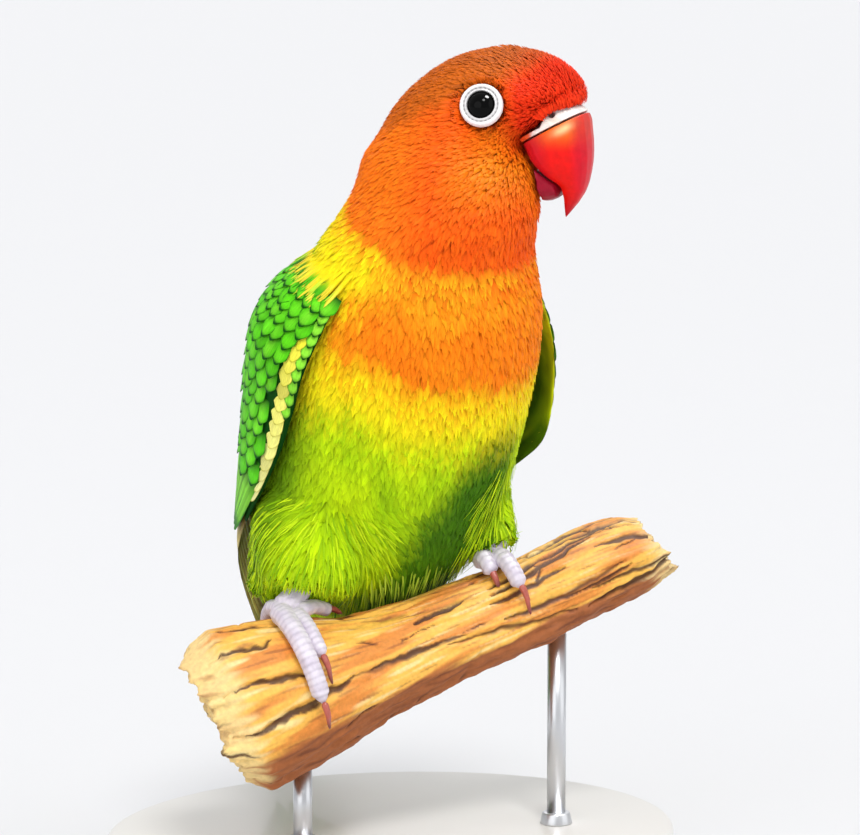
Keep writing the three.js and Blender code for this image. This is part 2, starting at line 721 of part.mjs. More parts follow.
const upperWhole = billForm(bill, 0, 18, 16).subtract(bodyGrown);
const cereCutAxis = inHead(-cereEdge.rise, 0, 1).sub(headMiddle);
const cereCut = thinCut(inHead(cereEdge.forward, 0, cereEdge.up), cereCutAxis);
const [upperBill, cere] = upperWhole
  .subtract(cereCut)
  .decompose()
  .sort((a, b) => b.volume() - a.volume());
place("bill_upper", upperBill, redHorn);
place("cere", cere.subtract(nostrilHole(1)).subtract(nostrilHole(-1)), bareSkin);
const lowerWhole = billForm(lowerBill, 0, 14, 10);
place("bill_lower", lowerWhole.subtract(bodyGrown).subtract(billForm(bill, gap, 18, 16)), redHorn);

for (const { name, side } of sides) {
  place(`eye_${name}`, eyeBall(side, 0), eyeBlack);
  place(`eye_ring_${name}`, ringForm(side, 0).subtract(eyeBall(side, gap)), bareSkin);
}

const footGrown = {};
for (const leg of legs) {
  footGrown[leg.name] = footForm(leg, gap);
  const thigh = thighForm(leg, 0).subtract(bodyGrown).subtract(branchGrown);
  place(`thigh_${leg.name}`, thigh.subtract(footGrown[leg.name]), greenPlumage);
  place(`foot_${leg.name}`, footForm(leg, 0).subtract(branchGrown).subtract(bodyGrown), greySkin);
  toes[leg.name].forEach((toe, i) => {
    const free = clawForm(leg, toe).subtract(footGrown[leg.name]).subtract(branchGrown);
    const shape = free.subtract(bodyGrown).subtract(thighForm(leg, gap));
    place(`claw_${leg.name}_${i + 1}`, shape, clawHorn);
  });
}

const thighsGrown = joined(legs.map((leg) => thighForm(leg, gap)));
const wingGap = joined([bodyGrown, thighsGrown, tailRoom()]);
for (const { name } of sides) {
  place(`wing_${name}`, wingForm(wings[name]).subtract(wingGap), wingGreen);
}
place("tail", tailForm().subtract(bodyGrown).subtract(branchGrown), tailGreen);
place("perch", branchForm(0), wood);

// The stand: a flat base with round corners, and two rods up to the branch
function baseForm() {
  const { length, width, height: tall, edge } = base;
  const outline = new THREE.Shape();
  outline.absellipse(0, 0, length / 2 - edge, width / 2 - edge, 0, 2 * Math.PI);
  const slab = new THREE.ExtrudeGeometry(outline, {
    depth: tall - 2 * edge,
    bevelEnabled: true,
    bevelThickness: edge,
    bevelSize: edge,
    bevelSegments: 1,
    curveSegments: 20,
  });
  return toSolid(slab.translate(0, 0, edge));
}

function rodForm(x) {
  const bottom = base.height + gap;
  const top = branchHeight + onBranch(branchShareAt(x), 0, 0).z;
  const shaft = new THREE.CylinderGeometry(rod.radius, rod.radius, top - bottom, 16);
  shaft.rotateX(Math.PI / 2).translate(x, branchForward, (top + bottom) / 2);
  return toSolid(shaft);
}

place("stand_base", baseForm(), paleLacquer, model);
rod.places.forEach((x, i) => {
  const shape = rodForm(x).subtract(branchGrown.translate([0, branchForward, branchHeight]));
  const lower = shape.decompose().sort((a, b) => height(a) - height(b))[0];
  place(`stand_rod_${i + 1}`, lower, steel, model);
});

export default model;
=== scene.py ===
import math

import bmesh
import bpy
import numpy as np
from mathutils import Matrix, Vector
from mathutils.bvhtree import BVHTree


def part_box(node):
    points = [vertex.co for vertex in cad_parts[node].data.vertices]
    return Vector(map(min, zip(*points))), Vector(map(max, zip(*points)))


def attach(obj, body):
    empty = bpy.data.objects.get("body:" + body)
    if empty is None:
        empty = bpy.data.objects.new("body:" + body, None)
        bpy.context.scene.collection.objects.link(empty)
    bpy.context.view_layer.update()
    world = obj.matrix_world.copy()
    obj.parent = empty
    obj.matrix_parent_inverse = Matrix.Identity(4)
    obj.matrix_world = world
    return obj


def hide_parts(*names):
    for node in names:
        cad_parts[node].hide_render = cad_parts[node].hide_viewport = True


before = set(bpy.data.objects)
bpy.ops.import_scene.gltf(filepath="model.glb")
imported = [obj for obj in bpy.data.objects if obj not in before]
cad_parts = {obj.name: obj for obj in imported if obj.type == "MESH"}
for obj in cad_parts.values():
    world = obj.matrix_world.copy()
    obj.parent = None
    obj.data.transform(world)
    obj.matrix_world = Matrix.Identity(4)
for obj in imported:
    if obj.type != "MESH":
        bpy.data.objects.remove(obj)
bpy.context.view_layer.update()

# The camera: a long lens a little above the bird and to its right, level with the belly.
# Sizes are in millimetres, and MM turns them into metres.
MM = 0.001
camera_turn = math.radians(-22)
camera_rise = math.radians(8)
camera_distance = 700
camera_target = Vector((4.7, -5.8, 78.7)) * MM
camera_back = Vector((
    math.sin(camera_turn) * math.cos(camera_rise),
    -math.cos(camera_turn) * math.cos(camera_rise),
    math.sin(camera_rise),
))
camera_data = bpy.data.cameras.new("camera")
camera_data.sensor_width = 36
camera_data.lens = 175.8
camera_data.clip_start = 0.05
camera_data.clip_end = 20
camera = bpy.data.objects.new("camera", camera_data)
camera.location = camera_target + camera_back * camera_distance * MM
camera.rotation_mode = "QUATERNION"
camera.rotation_quaternion = (-camera_back).to_track_quat("-Z", "Y")
bpy.context.scene.collection.objects.link(camera)
bpy.context.scene.camera = camera


# The floor: a wide pale sheet of studio paper, lit evenly so that no horizon shows.
def linear(code):
    """A colour written as six hex digits, as linear red, green and blue."""
    shares = [int(code[i:i + 2], 16) / 255 for i in (0, 2, 4)]
    return np.array([s / 12.92 if s < 0.04045 else ((s + 0.055) / 1.055) ** 2.4 for s in shares])


def new_material(name, roughness, metallic=0.0):
    made = bpy.data.materials.new(name)
    made.use_nodes = True
    shader = made.node_tree.nodes["Principled BSDF"]
    shader.inputs["Roughness"].default_value = roughness
    shader.inputs["Metallic"].default_value = metallic
    return made, shader, made.node_tree.nodes, made.node_tree.links


def mesh_from(form, name):
    """The finished form as a mesh."""
    mesh = bpy.data.meshes.new(name)
    form.to_mesh(mesh)
    form.free()
    return mesh


def new_piece(name, mesh, material, smooth=True):
    piece = bpy.data.objects.new(name, mesh)
    bpy.context.scene.collection.objects.link(piece)
    mesh.materials.clear()
    mesh.materials.append(material)
    mesh.polygons.foreach_set("use_smooth", [smooth] * len(mesh.polygons))
    return piece


floor_radius = 6
paper, paper_shader, _, _ = new_material("studio_paper", 0.9)
paper_shader.inputs["Base Color"].default_value = (0.74, 0.74, 0.75, 1)
floor_form = bmesh.new()
bmesh.ops.create_circle(floor_form, cap_ends=True, segments=64, radius=floor_radius)
floor = new_piece("floor", mesh_from(floor_form, "floor"), paper, smooth=False)

# The light: a bright white room, with a large soft light high in front, a weaker one from each
# side and one from behind. They are far off, so that the paper is lit evenly. A small near window
# shows only as a glint on wet and glossy things.
world = bpy.data.worlds.new("studio")
world.use_nodes = True
world.node_tree.nodes["Background"].inputs["Color"].default_value = (0.97, 0.98, 1, 1)
world.node_tree.nodes["Background"].inputs["Strength"].default_value = 0.68
bpy.context.scene.world = world
bpy.context.scene.view_settings.view_transform = "Standard"


def new_lamp(name, kind, source, power):
    """A lamp that shines from the direction of its source."""
    lamp_data = bpy.data.lights.new(name, kind)
    lamp_data.energy = power
    lamp = bpy.data.objects.new(name, lamp_data)
    lamp.rotation_mode = "QUATERNION"
    lamp.rotation_quaternion = Vector(source).to_track_quat("Z", "Y")
    bpy.context.scene.collection.objects.link(lamp)
    return lamp


for lamp_name, lamp_source, lamp_spread, lamp_power in (
    ("key", (-0.1, -0.6, 0.79), 16, 1.55),
    ("left_fill", (-0.9, -0.6, 0.3), 50, 0.55),
    ("right_fill", (0.8, -0.7, 0.3), 50, 0.42),
    ("rim", (0.3, 0.9, 0.8), 40, 0.4),
):
    far_lamp = new_lamp(lamp_name, "SUN", lamp_source, lamp_power)
    far_lamp.data.angle = math.radians(lamp_spread)

glint_place = Vector((0.2, -0.16, 0.65))
head_place = Vector((0.005, -0.03, 0.13))
glint = new_lamp("glint", "AREA", glint_place - head_place, 9)
glint.location = glint_place
glint.data.shape = "DISK"
glint.data.size = 0.2
glint.visible_diffuse = False

# The skin under the feathers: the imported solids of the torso, neck, head and thighs as one form,
# drawn in by the depth of the coat, so that no seam shows between them. The marks of the coat
# are painted on it too.
bird_place = Vector((0, -8, 41)) * MM
coat_depth = 1.0
flesh_nodes = ["torso", "neck", "head", "thigh_left", "thigh_right"]
flesh_swell = 0.25
skin_voxel = 0.75
# Cones that fill the flanks down to the feet: top, top radius, bottom, bottom radius.
thigh_fills = [
    ((14.6, 5.4, 25), 6.2, (16, 1.2, 14.4), 4.7),
    ((-15.5, 4, 19), 9.4, (-17.4, 2.6, 9.4), 7.6),
    ((-15.5, 9, 24), 9, (-16.3, 9.5, 7.5), 8.8),
]
# The head looks 50 degrees to the bird's left.
head_middle = np.array([8.3, -14, 89.5])
head_turn = math.radians(50)
head_axes = np.array([
    [math.sin(head_turn), -math.cos(head_turn), 0],
    [math.cos(head_turn), math.sin(head_turn), 0],
    [0, 0, 1],
])
plume_colours = {
    "lime": linear("c3e40c"),
    "leaf": linear("8fc40b"),
    "shade": linear("2c6408"),
    "yellow": linear("ffe416"),
    "orange": linear("ff8210"),
    "gold": linear("ffb41a"),
    "throat": linear("ff5f10"),
    "cheek": linear("ff8c14"),
    "crown": linear("cc6214"),
    "nape": linear("ff8214"),
    "face": linear("ff3c16"),
    "mantle": linear("4fae1a"),
    "rump": linear("3f56b8"),
}
# Where each colour starts and is full, as heights in front. The back's turn with the angle.
yellow_belly = (31.5, 38)
orange_breast = (40.5, 45)
yellow_collar = (57, 61)
orange_throat = (61.7, 64.1)
green_mantle = (60, 54)
blue_rump = (26, 20)


def joined_copy(nodes, swell):
    """One mesh of the merged copies of CAD nodes, each swollen so that near faces meet."""
    form = bmesh.new()
    for node in nodes:
        form.from_mesh(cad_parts[node].data)
    bmesh.ops.remove_doubles(form, verts=form.verts, dist=1e-7)
    form.normal_update()
    for v in form.verts:
        v.co += v.normal * swell
    mesh = mesh_from(form, "copy")
    mesh.materials.clear()
    return mesh


def remeshed(mesh, voxel, rounds):
    """The mesh rebuilt in even faces and smoothed."""
    worker = bpy.data.objects.new("worker", mesh)
    bpy.context.scene.collection.objects.link(worker)
    even = worker.modifiers.new("even", "REMESH")
    even.mode = "VOXEL"
    even.voxel_size = voxel
    soften = worker.modifiers.new("soften", "SMOOTH")
    soften.factor = 0.5
    soften.iterations = rounds
    evaluated = worker.evaluated_get(bpy.context.evaluated_depsgraph_get())
    made = bpy.data.meshes.new_from_object(evaluated)
    bpy.data.objects.remove(worker)
    return made


def rows_of(mesh, what):
    """The places or normals of the mesh's vertices, one to a row."""
    flat = np.empty(len(mesh.vertices) * 3)
    mesh.vertices.foreach_get(what, flat)
    return flat.reshape(-1, 3)


def move_points(mesh, points):
    mesh.vertices.foreach_set("co", points.ravel())
    mesh.update()


def paint(mesh, colours):
    """Stores a colour for each vertex, which the finishes read."""
    layer = mesh.attributes.new("paint", "FLOAT_COLOR", "POINT")
    layer.data.foreach_set("color", np.column_stack([colours, np.ones(len(colours))]).ravel())


def smooth_step(low, high, value):
    share = np.clip((value - low) / (high - low), 0, 1)
    return share * share * (3 - 2 * share)


def mixed(under, over, share):
    return under + (over - under) * share


def tinted(under, over, share):
    """Colours of many points, each taken towards another colour by its own share."""
    return mixed(under, over, np.asarray(share)[:, None])


def ripple(points, size, seed):
    """Smooth random waves of about this size, between -1 and 1, at points in millimetres."""
    draw = np.random.default_rng(seed)
    total = np.zeros(len(points))
    for _ in range(7):
        direction = draw.normal(size=3)
        direction /= np.linalg.norm(direction)
        pace = 2 * math.pi / (size * draw.uniform(0.7, 1.5))
        total += np.sin(points @ direction * pace + draw.uniform(0, 2 * math.pi))
    return total / 4


def bird_spots(points):
    """Points in metres as millimetres from the bird's own origin."""
    return (points - np.array(bird_place)) / MM


def head_spots(spots):
    """How far ahead, to the left and up from the middle of the head the bird's spots lie."""
    return ((spots - head_middle) @ head_axes.T).T


def body_angle(spots):
    """The angle round the body's line from the middle of the breast towards the bird's left."""
    line_y = np.interp(
        spots[:, 2], [-2.5, 8, 24, 37, 51, 68.5, 88.8], [31.5, 20.5, 9.5, 3, -4, -11.5, -14]
    )
    line_x = np.interp(spots[:, 2], [60, 75, 88], [-2, 1.8, 8])
    return np.arctan2(spots[:, 0] - line_x, line_y - spots[:, 1])


def belly_marks(spots, angle, ragged, patch):
    """Lime and leaf green, painted shade along the fold inside the left thigh and beside the right wing.
    """
    c = plume_colours
    height = spots[:, 2]
    made = np.tile(c["lime"], (len(spots), 1))
    made = tinted(made, c["leaf"], np.clip(0.35 + patch * 0.4, 0, 0.8))
    # Painted shade: dark green along the fold inside the left thigh and beside the right wing.
    fold_line = np.interp(height, [8, 23, 33, 37], [-6.5, -1.8, 5.6, 8.5])
    fold_shade = smooth_step(-1.5, 3, spots[:, 0] - fold_line + ragged * 0.8) * smooth_step(39, 34, height)
    fold_shade = fold_shade * smooth_step(18, 13.5, spots[:, 0]) * smooth_step(0.2, 0.8, np.cos(angle))
    made = tinted(made, c["shade"], fold_shade * 0.93)
    wing_shade = smooth_step(0.85, 1.25, -angle) * smooth_step(60, 45, height)
    return tinted(made, c["shade"], wing_shade * 0.75)


def breast_marks(made, spots, angle, ragged, patch, collar):
    """Yellow above the belly, the orange breast, the yellow collar, and the back behind them."""
    c = plume_colours
    height = spots[:, 2]
    low_edge = height - 7 * (1 - np.cos(angle - 0.17)) + ragged
    low_edge = low_edge - 2.8 * smooth_step(-0.15, -0.7, angle)
    made = tinted(made, c["yellow"], smooth_step(*yellow_belly, low_edge))
    breast = smooth_step(*orange_breast, low_edge) * (
        smooth_step(1.2, 0.9, -angle + ragged * 0.05) * smooth_step(2.0, 1.6, angle)
    )
    orange = np.tile(c["orange"], (len(spots), 1))
    made = tinted(made, tinted(orange, c["gold"], np.clip(patch * 0.35, 0, 0.4)), breast)
    at_sides = smooth_step(0.55, 1.1, -angle) + smooth_step(1.6, 2, angle)
    yellow = tinted(np.tile(c["gold"], (len(spots), 1)), c["yellow"], np.clip(at_sides, 0, 1))
    made = tinted(made, yellow, smooth_step(*yellow_collar, collar + 2.5 * smooth_step(0.6, 1.1, -angle)))
    mantle = smooth_step(1.5, 2.0, np.abs(angle)) * smooth_step(*green_mantle, collar)
    made = tinted(made, c["mantle"], mantle)
    rump = smooth_step(1.9, 2.4, np.abs(angle)) * smooth_step(*blue_rump, height)
    return tinted(made, c["rump"], rump * 0.85)


def head_marks(made, spots, angle, ragged, patch, collar):
    """The orange throat and cheeks, the brown crown and the red face."""
    c = plume_colours
    ahead, _, up = head_spots(spots)
    edge = collar + 3.4 * smooth_step(0.1, 1.1, angle) - 0.8 * smooth_step(0.4, 1, -angle)
    throat = smooth_step(*orange_throat, edge)
    made = tinted(made, c["throat"], throat)
    warm = np.exp(-((ahead - 5) / 7) ** 2 - ((up + 8.5) / 6) ** 2)
    made = tinted(made, c["cheek"], throat * np.clip(warm * 0.9 + patch * 0.15, 0, 1))
    made = tinted(made, c["nape"], throat * smooth_step(-4, -12, ahead) * 0.7)
    crown_line = np.interp(ahead, [-18, -8, 2, 7, 14], [-4, 0, 4.8, 6.2, 8.8])
    crown = throat * smooth_step(-1.6, 1.6, up - crown_line + ragged * 0.6)
    made = tinted(made, c["crown"], crown)
    face = throat * smooth_step(4.5, 8, ahead + ragged * 0.4) * smooth_step(-8, -4, up)
    return tinted(made, c["face"], face * (1 - 0.75 * crown * smooth_step(12, 8, ahead)))


def plumage(points):
    """The coat's colour at points in metres."""
    spots = bird_spots(points)
    angle = body_angle(spots)
    ragged = ripple(spots * [1, 1, 0.35], 3.2, 3) * 1.1 + ripple(spots * [1, 1, 0.3], 1.4, 4) * 0.7
    patch = ripple(spots, 7, 5)
    collar = spots[:, 2] - 8.1 * (1 - np.cos(angle)) + ragged * 0.6
    made = belly_marks(spots, angle, ragged, patch)
    made = breast_marks(made, spots, angle, ragged, patch, collar)
    return np.clip(head_marks(made, spots, angle, ragged, patch, collar), 0, 1)


skin_paint, skin_shader, skin_nodes, skin_links = new_material("skin_and_down", 0.9)
skin_colour = skin_nodes.new("ShaderNodeAttribute")
skin_colour.attribute_name = "paint"
# Painted shade: the coat's colours, darkened on the skin that shows between the feathers.
skin_shade = skin_nodes.new("ShaderNodeMix")
skin_shade.data_type = "RGBA"
skin_shade.blend_type = "MULTIPLY"
skin_shade.inputs["Factor"].default_value = 1
skin_shade.inputs["B"].default_value = (0.8, 0.78, 0.72, 1)
skin_links.new(skin_colour.outputs["Color"], skin_shade.inputs["A"])
skin_links.new(skin_shade.outputs["Result"], skin_shader.inputs["Base Color"])

flesh_form = bmesh.new()
flesh_form.from_mesh(joined_copy(flesh_nodes, flesh_swell * MM))
for top, top_radius, bottom, bottom_radius in thigh_fills:
    top, bottom = bird_place + Vector(top) * MM, bird_place + Vector(bottom) * MM
    turn = (top - bottom).to_track_quat("Z", "Y").to_matrix().to_4x4()
    bmesh.ops.create_cone(
        flesh_form, cap_ends=True, segments=24, radius1=bottom_radius * MM, radius2=top_radius * MM,
        depth=(top - bottom).length, matrix=Matrix.Translation((top + bottom) / 2) @ turn,
    )
skin_mesh = remeshed(mesh_from(flesh_form, "flesh"), skin_voxel * MM, 8)
skin_points = rows_of(skin_mesh, "co") - rows_of(skin_mesh, "normal") * (coat_depth + flesh_swell) * MM
move_points(skin_mesh, skin_points)
skin_tree = BVHTree.FromPolygons(
    [Vector(p) for p in skin_points], [tuple(face.vertices) for face in skin_mesh.polygons]
)
paint(skin_mesh, plumage(skin_points))
skin = new_piece("skin", skin_mesh, skin_paint)
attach(skin, "root")
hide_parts(*flesh_nodes)

# The coat: small soft feathers set in the skin, each over the ones behind it. They run back from
# the bill over the head, and down the breast and belly to the tail. Thin plumes hang over the
# thighs, and short feathers meet the edge of the cere.
feather_draw = np.random.default_rng(11)
feather_width = 0.27
feather_spacing = 0.145
body_axis = np.array([0, 0.45, -0.9])
bill_root = head_middle + head_axes.T @ np.array([13, 0, 0])
# The middle and the reach of the places that the feathers of each thigh fan out from.
fan_middles = [
    (np.array([-16.5, -8, 29]), np.array([15, 16, 24])),
    (np.array([15.5, -6, 33]), np.array([9, 14, 22])),
]
# The coat's pieces, by height on the body: name, bottom, top and material slot.
coat_levels = [
    ("rump", -20, 22, "green_plumage"), ("belly", 22, 40, "green_plumage"),
    ("breast", 40, 58, "orange_plumage"), ("collar", 58, 73, "yellow_plumage"),
    ("cheek", 73, 84, "orange_plumage"), ("brow", 84, 92, "orange_plumage"),
    ("crown", 92, 120, "orange_plumage"),
]
head_level = 66
thigh_tones = (linear("d9f41e"), linear("86bc10"))
belly_tones = (linear("c8e84a"), linear("4a840c"))


def scatter(mesh, spacing_at, tries, seed):
    """Points spread evenly over a mesh, no nearer than the spacing there, with their normals."""
    draw = np.random.default_rng(seed)
    mesh.calc_loop_triangles()
    corners = np.empty(len(mesh.loop_triangles) * 3, np.int32)
    mesh.loop_triangles.foreach_get("vertices", corners)
    corners = corners.reshape(-1, 3)
    points, normals = rows_of(mesh, "co"), rows_of(mesh, "normal")
    a, b, c = (points[corners[:, i]] for i in range(3))
    areas = np.linalg.norm(np.cross(b - a, c - a), axis=1)
    pick = draw.choice(len(corners), size=tries, p=areas / areas.sum())
    u, v = draw.random(tries), draw.random(tries)
    flip = u + v > 1
    u[flip], v[flip] = 1 - u[flip], 1 - v[flip]
    spots = a[pick] + (b - a)[pick] * u[:, None] + (c - a)[pick] * v[:, None]
    spacing = spacing_at(spots)
    cells = np.floor(spots / spacing.max()).astype(int)
    near = [(i, j, k) for i in (-1, 0, 1) for j in (-1, 0, 1) for k in (-1, 0, 1)]
    taken = {}
    kept = []
    for n, spot in enumerate(spots.tolist()):
        x, y, z = spot
        i0, j0, k0 = cells[n]
        limit = spacing[n] ** 2
        if not any(
            (px - x) ** 2 + (py - y) ** 2 + (pz - z) ** 2 < limit
            for i, j, k in near
            for px, py, pz in taken.get((i0 + i, j0 + j, k0 + k), ())
        ):
            taken.setdefault((i0, j0, k0), []).append((x, y, z))
            kept.append(n)
    return spots[kept], normals[corners[pick, 0]][kept]


def unit(rows):
    return rows / np.maximum(np.linalg.norm(rows, axis=1), 1e-9)[:, None]


def lie_of_coat(spots, ways, turns):
    """The way the feathers point, laid flat on the skin and each turned a little on it."""
    share = smooth_step(head_level, 84, spots[:, 2])[:, None]
    along = unit(unit(spots - bill_root) * share + body_axis * (1 - share))
    fan = np.zeros((len(spots), 1))
    spread = np.zeros_like(spots)
    for middle, reach in fan_middles:
        away = spots - middle
        near = np.exp(-np.sum((away / reach) ** 2, axis=1))[:, None] * smooth_step(4, -6, away[:, 2:])
        fan = np.maximum(fan, near)
        spread += unit(away * [1.25, 1, 1]) * near
    lie = unit(along * (1 - fan * 0.9) + spread)
    lie = unit(lie - ways * np.sum(lie * ways, axis=1)[:, None])
    return unit(lie + np.cross(ways, lie) * turns)


def across_vanes(ups, lie):
    """The way across each feather, at every row down it."""
    return unit(np.cross(ups.reshape(-1, 3), np.repeat(lie, ups.shape[1], axis=0))).reshape(ups.shape)


def vane_mesh(name, spines, sides, ups, half_widths, across, camber, pull, tones, places):
    """Joins feathers into one mesh, from rows of points down each feather's middle.

    spines, sides and ups are (feathers, rows, 3), half_widths (feathers, rows), and pull, how far
    a point is drawn back from the tip, is (feathers, rows, columns), all in metres.
    """
    count, rows = half_widths.shape
    columns = len(across)
    tangents = np.gradient(spines, axis=1)
    tangents /= np.maximum(np.linalg.norm(tangents, axis=2), 1e-12)[..., None]
    wide = across[None, None, :, None]
    grid = (
        spines[:, :, None, :]
        + sides[:, :, None, :] * wide * half_widths[:, :, None, None]
        - ups[:, :, None, :] * wide ** 2 * camber[:, None, None, None]
        - tangents[:, :, None, :] * pull[..., None]
    )
    points = grid.reshape(-1, 3)
    r, c = np.meshgrid(np.arange(rows - 1), np.arange(columns - 1), indexing="ij")
    corner = (r * columns + c).ravel()
    quads = np.column_stack([corner, corner + 1, corner + columns + 1, corner + columns])
    faces = (quads[None] + (np.arange(count) * rows * columns)[:, None, None]).reshape(-1, 4)
    mesh = bpy.data.meshes.new(name)
    mesh.vertices.add(len(points))
    mesh.vertices.foreach_set("co", points.ravel())
    mesh.loops.add(faces.size)
    mesh.loops.foreach_set("vertex_index", faces.ravel().astype(np.int32))
    mesh.polygons.add(len(faces))
    mesh.polygons.foreach_set("loop_start", (np.arange(len(faces)) * 4).astype(np.int32))
    mesh.update(calc_edges=True)
    local = np.empty((count, rows, columns, 2))
    local[..., 0] = (across + 1) / 2
    local[..., 1] = np.linspace(0, 1, rows)[:, None]
    bake_patch = 0.003
    bake = places[:, None, None, :] + (local - 0.5) * bake_patch
    shift = feather_draw.random((count, 1, 1, 1)) * [37.0, 23.0]
    for layer_name, values in (("OFBake", bake), ("vane", local + shift)):
        layer = mesh.uv_layers.new(name=layer_name)
        layer.data.foreach_set("uv", values.reshape(-1, 2)[faces.ravel()].astype(np.float32).ravel())
    paint(mesh, np.clip(tones, 0, 1).reshape(-1, 3))
    return mesh


def mottled_material(name, roughness, noise_scale, noise_detail, low, high, bump_strength, bump_height):
    """Colour from the vertices, made darker and lighter by noise, whose Vector is linked later."""
    made, shader, nodes, links = new_material(name, roughness)
    colour = nodes.new("ShaderNodeAttribute")
    colour.attribute_name = "paint"
    noise = nodes.new("ShaderNodeTexNoise")
    noise.inputs["Scale"].default_value = noise_scale
    noise.inputs["Detail"].default_value = noise_detail
    spread = nodes.new("ShaderNodeMapRange")
    for socket, value in (("From Min", 0.3), ("From Max", 0.7), ("To Min", low), ("To Max", high)):
        spread.inputs[socket].default_value = value
    shade = nodes.new("ShaderNodeVectorMath")
    shade.operation = "SCALE"
    links.new(noise.outputs["Fac"], spread.inputs["Value"])
    links.new(colour.outputs["Color"], shade.inputs[0])
    links.new(spread.outputs["Result"], shade.inputs["Scale"])
    links.new(shade.outputs["Vector"], shader.inputs["Base Color"])
    if bump_height:
        bump = nodes.new("ShaderNodeBump")
        bump.inputs["Strength"].default_value = bump_strength
        bump.inputs["Distance"].default_value = bump_height * MM
        links.new(noise.outputs["Fac"], bump.inputs["Height"])
        links.new(bump.outputs["Normal"], shader.inputs["Normal"])
    return made, shader, nodes, links, noise


def feather_finish(name, roughness, barbs, low, high):
    """Feather colour from the vertices, broken up by fine barbs along the vane."""
    made, shader, nodes, links, noise = mottled_material(name, roughness, 1.0, 2, low, high, 0.3, 0.2)
    shader.inputs["Specular IOR Level"].default_value = 0.07
    place = nodes.new("ShaderNodeUVMap")
    place.uv_map = "vane"
    stretch = nodes.new("ShaderNodeMapping")
    stretch.inputs["Scale"].default_value = barbs
    links.new(place.outputs["UV"], stretch.inputs["Vector"])
    links.new(stretch.outputs["Vector"], noise.inputs["Vector"])
    return made


def coat_length(spots):
    """The feathers' length in millimetres, shortest on the face."""
    ahead = head_spots(spots)[0]
    body = np.interp(spots[:, 2], [0, 20, 45, 66, 78, 90], [6.6, 6, 5.2, 4.6, 3.6, 2.8])
    return np.where(spots[:, 2] > 74, np.interp(ahead, [-4, 2, 12], [1, 0.9, 0.52]) * body, body)


def coat_spacing(points):
    return coat_length(bird_spots(points)) * feather_spacing * MM


def coat_spines(starts, lie, lengths, tops, rows):
    """Points down each feather's middle, lifting off the skin by up to the coat's depth."""
    count = len(starts)
    spines, ups = np.empty((count, rows, 3)), np.empty((count, rows, 3))
    for i in range(count):
        for k, share in enumerate(np.linspace(0, 1, rows)):
            at = starts[i] + lie[i] * (lengths[i] * share * MM)
            near, way, _, _ = skin_tree.find_nearest(Vector(at))
            ups[i, k] = way
            lift = (0.1 + (coat_depth - 0.1) * share ** 0.8) * tops[i]
            spines[i, k] = np.array(near) + np.array(way) * lift * MM
    return spines, ups


def coat_places(spots):
    """Each root's place on the coat's own map, laid round the body."""
    turn = body_angle(spots) / (2 * math.pi) + 0.5
    level = np.clip((spots[:, 2] + 5) / 110, 0, 1)
    return np.column_stack([0.02 + 0.96 * turn, 0.02 + 0.96 * level])


def coat_piece(name, chosen):
    """The feathers of one part of the body."""
    starts, spots, ways = roots[chosen], root_spots[chosen], root_ways[chosen]
    count = len(chosen)
    rows = 4
    shares = np.linspace(0, 1, rows)
    across = np.linspace(-1, 1, 5)
    lie = lie_of_coat(spots, ways, feather_draw.normal(0, 0.12, (count, 1)))
    lengths = coat_length(spots) * feather_draw.uniform(0.8, 1.2, count)
    spines, ups = coat_spines(starts, lie, lengths, feather_draw.uniform(0.92, 1.04, count), rows)
    widths = lengths * feather_width * MM / 2
    half_widths = widths[:, None] * np.interp(shares, [0, 0.35, 0.7, 1], [0.6, 1, 0.9, 0.4])
    pull = np.zeros((count, rows, len(across)))
    pull[:, -1] = feather_draw.uniform(0, 0.25, (count, len(across))) + across ** 2 * 0.15
    pull *= lengths[:, None, None] * MM
    streak = feather_draw.normal(1, 0.07, (count, 1, len(across), 1))
    whole = feather_draw.normal(1, 0.075, (count, 1, 1, 1))
    root_tone, tip_tone = plumage(starts)[:, None, None], plumage(spines[:, -1])[:, None, None]
    # Painted shade and light: each feather darker at its root, deep in the coat, and lighter at its tip.
    depth = np.interp(shares, [0, 0.5, 1], [0.94, 1.0, 1.05])[None, :, None, None]
    tones = mixed(root_tone, tip_tone, shares[None, :, None, None]) * streak * whole * depth
    mesh = vane_mesh(
        name, spines, across_vanes(ups, lie), ups, half_widths, across, widths * 0.25, pull, tones,
        coat_places(spots),
    )
    piece = new_piece(name, mesh, soft_feather)
    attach(piece, "root")


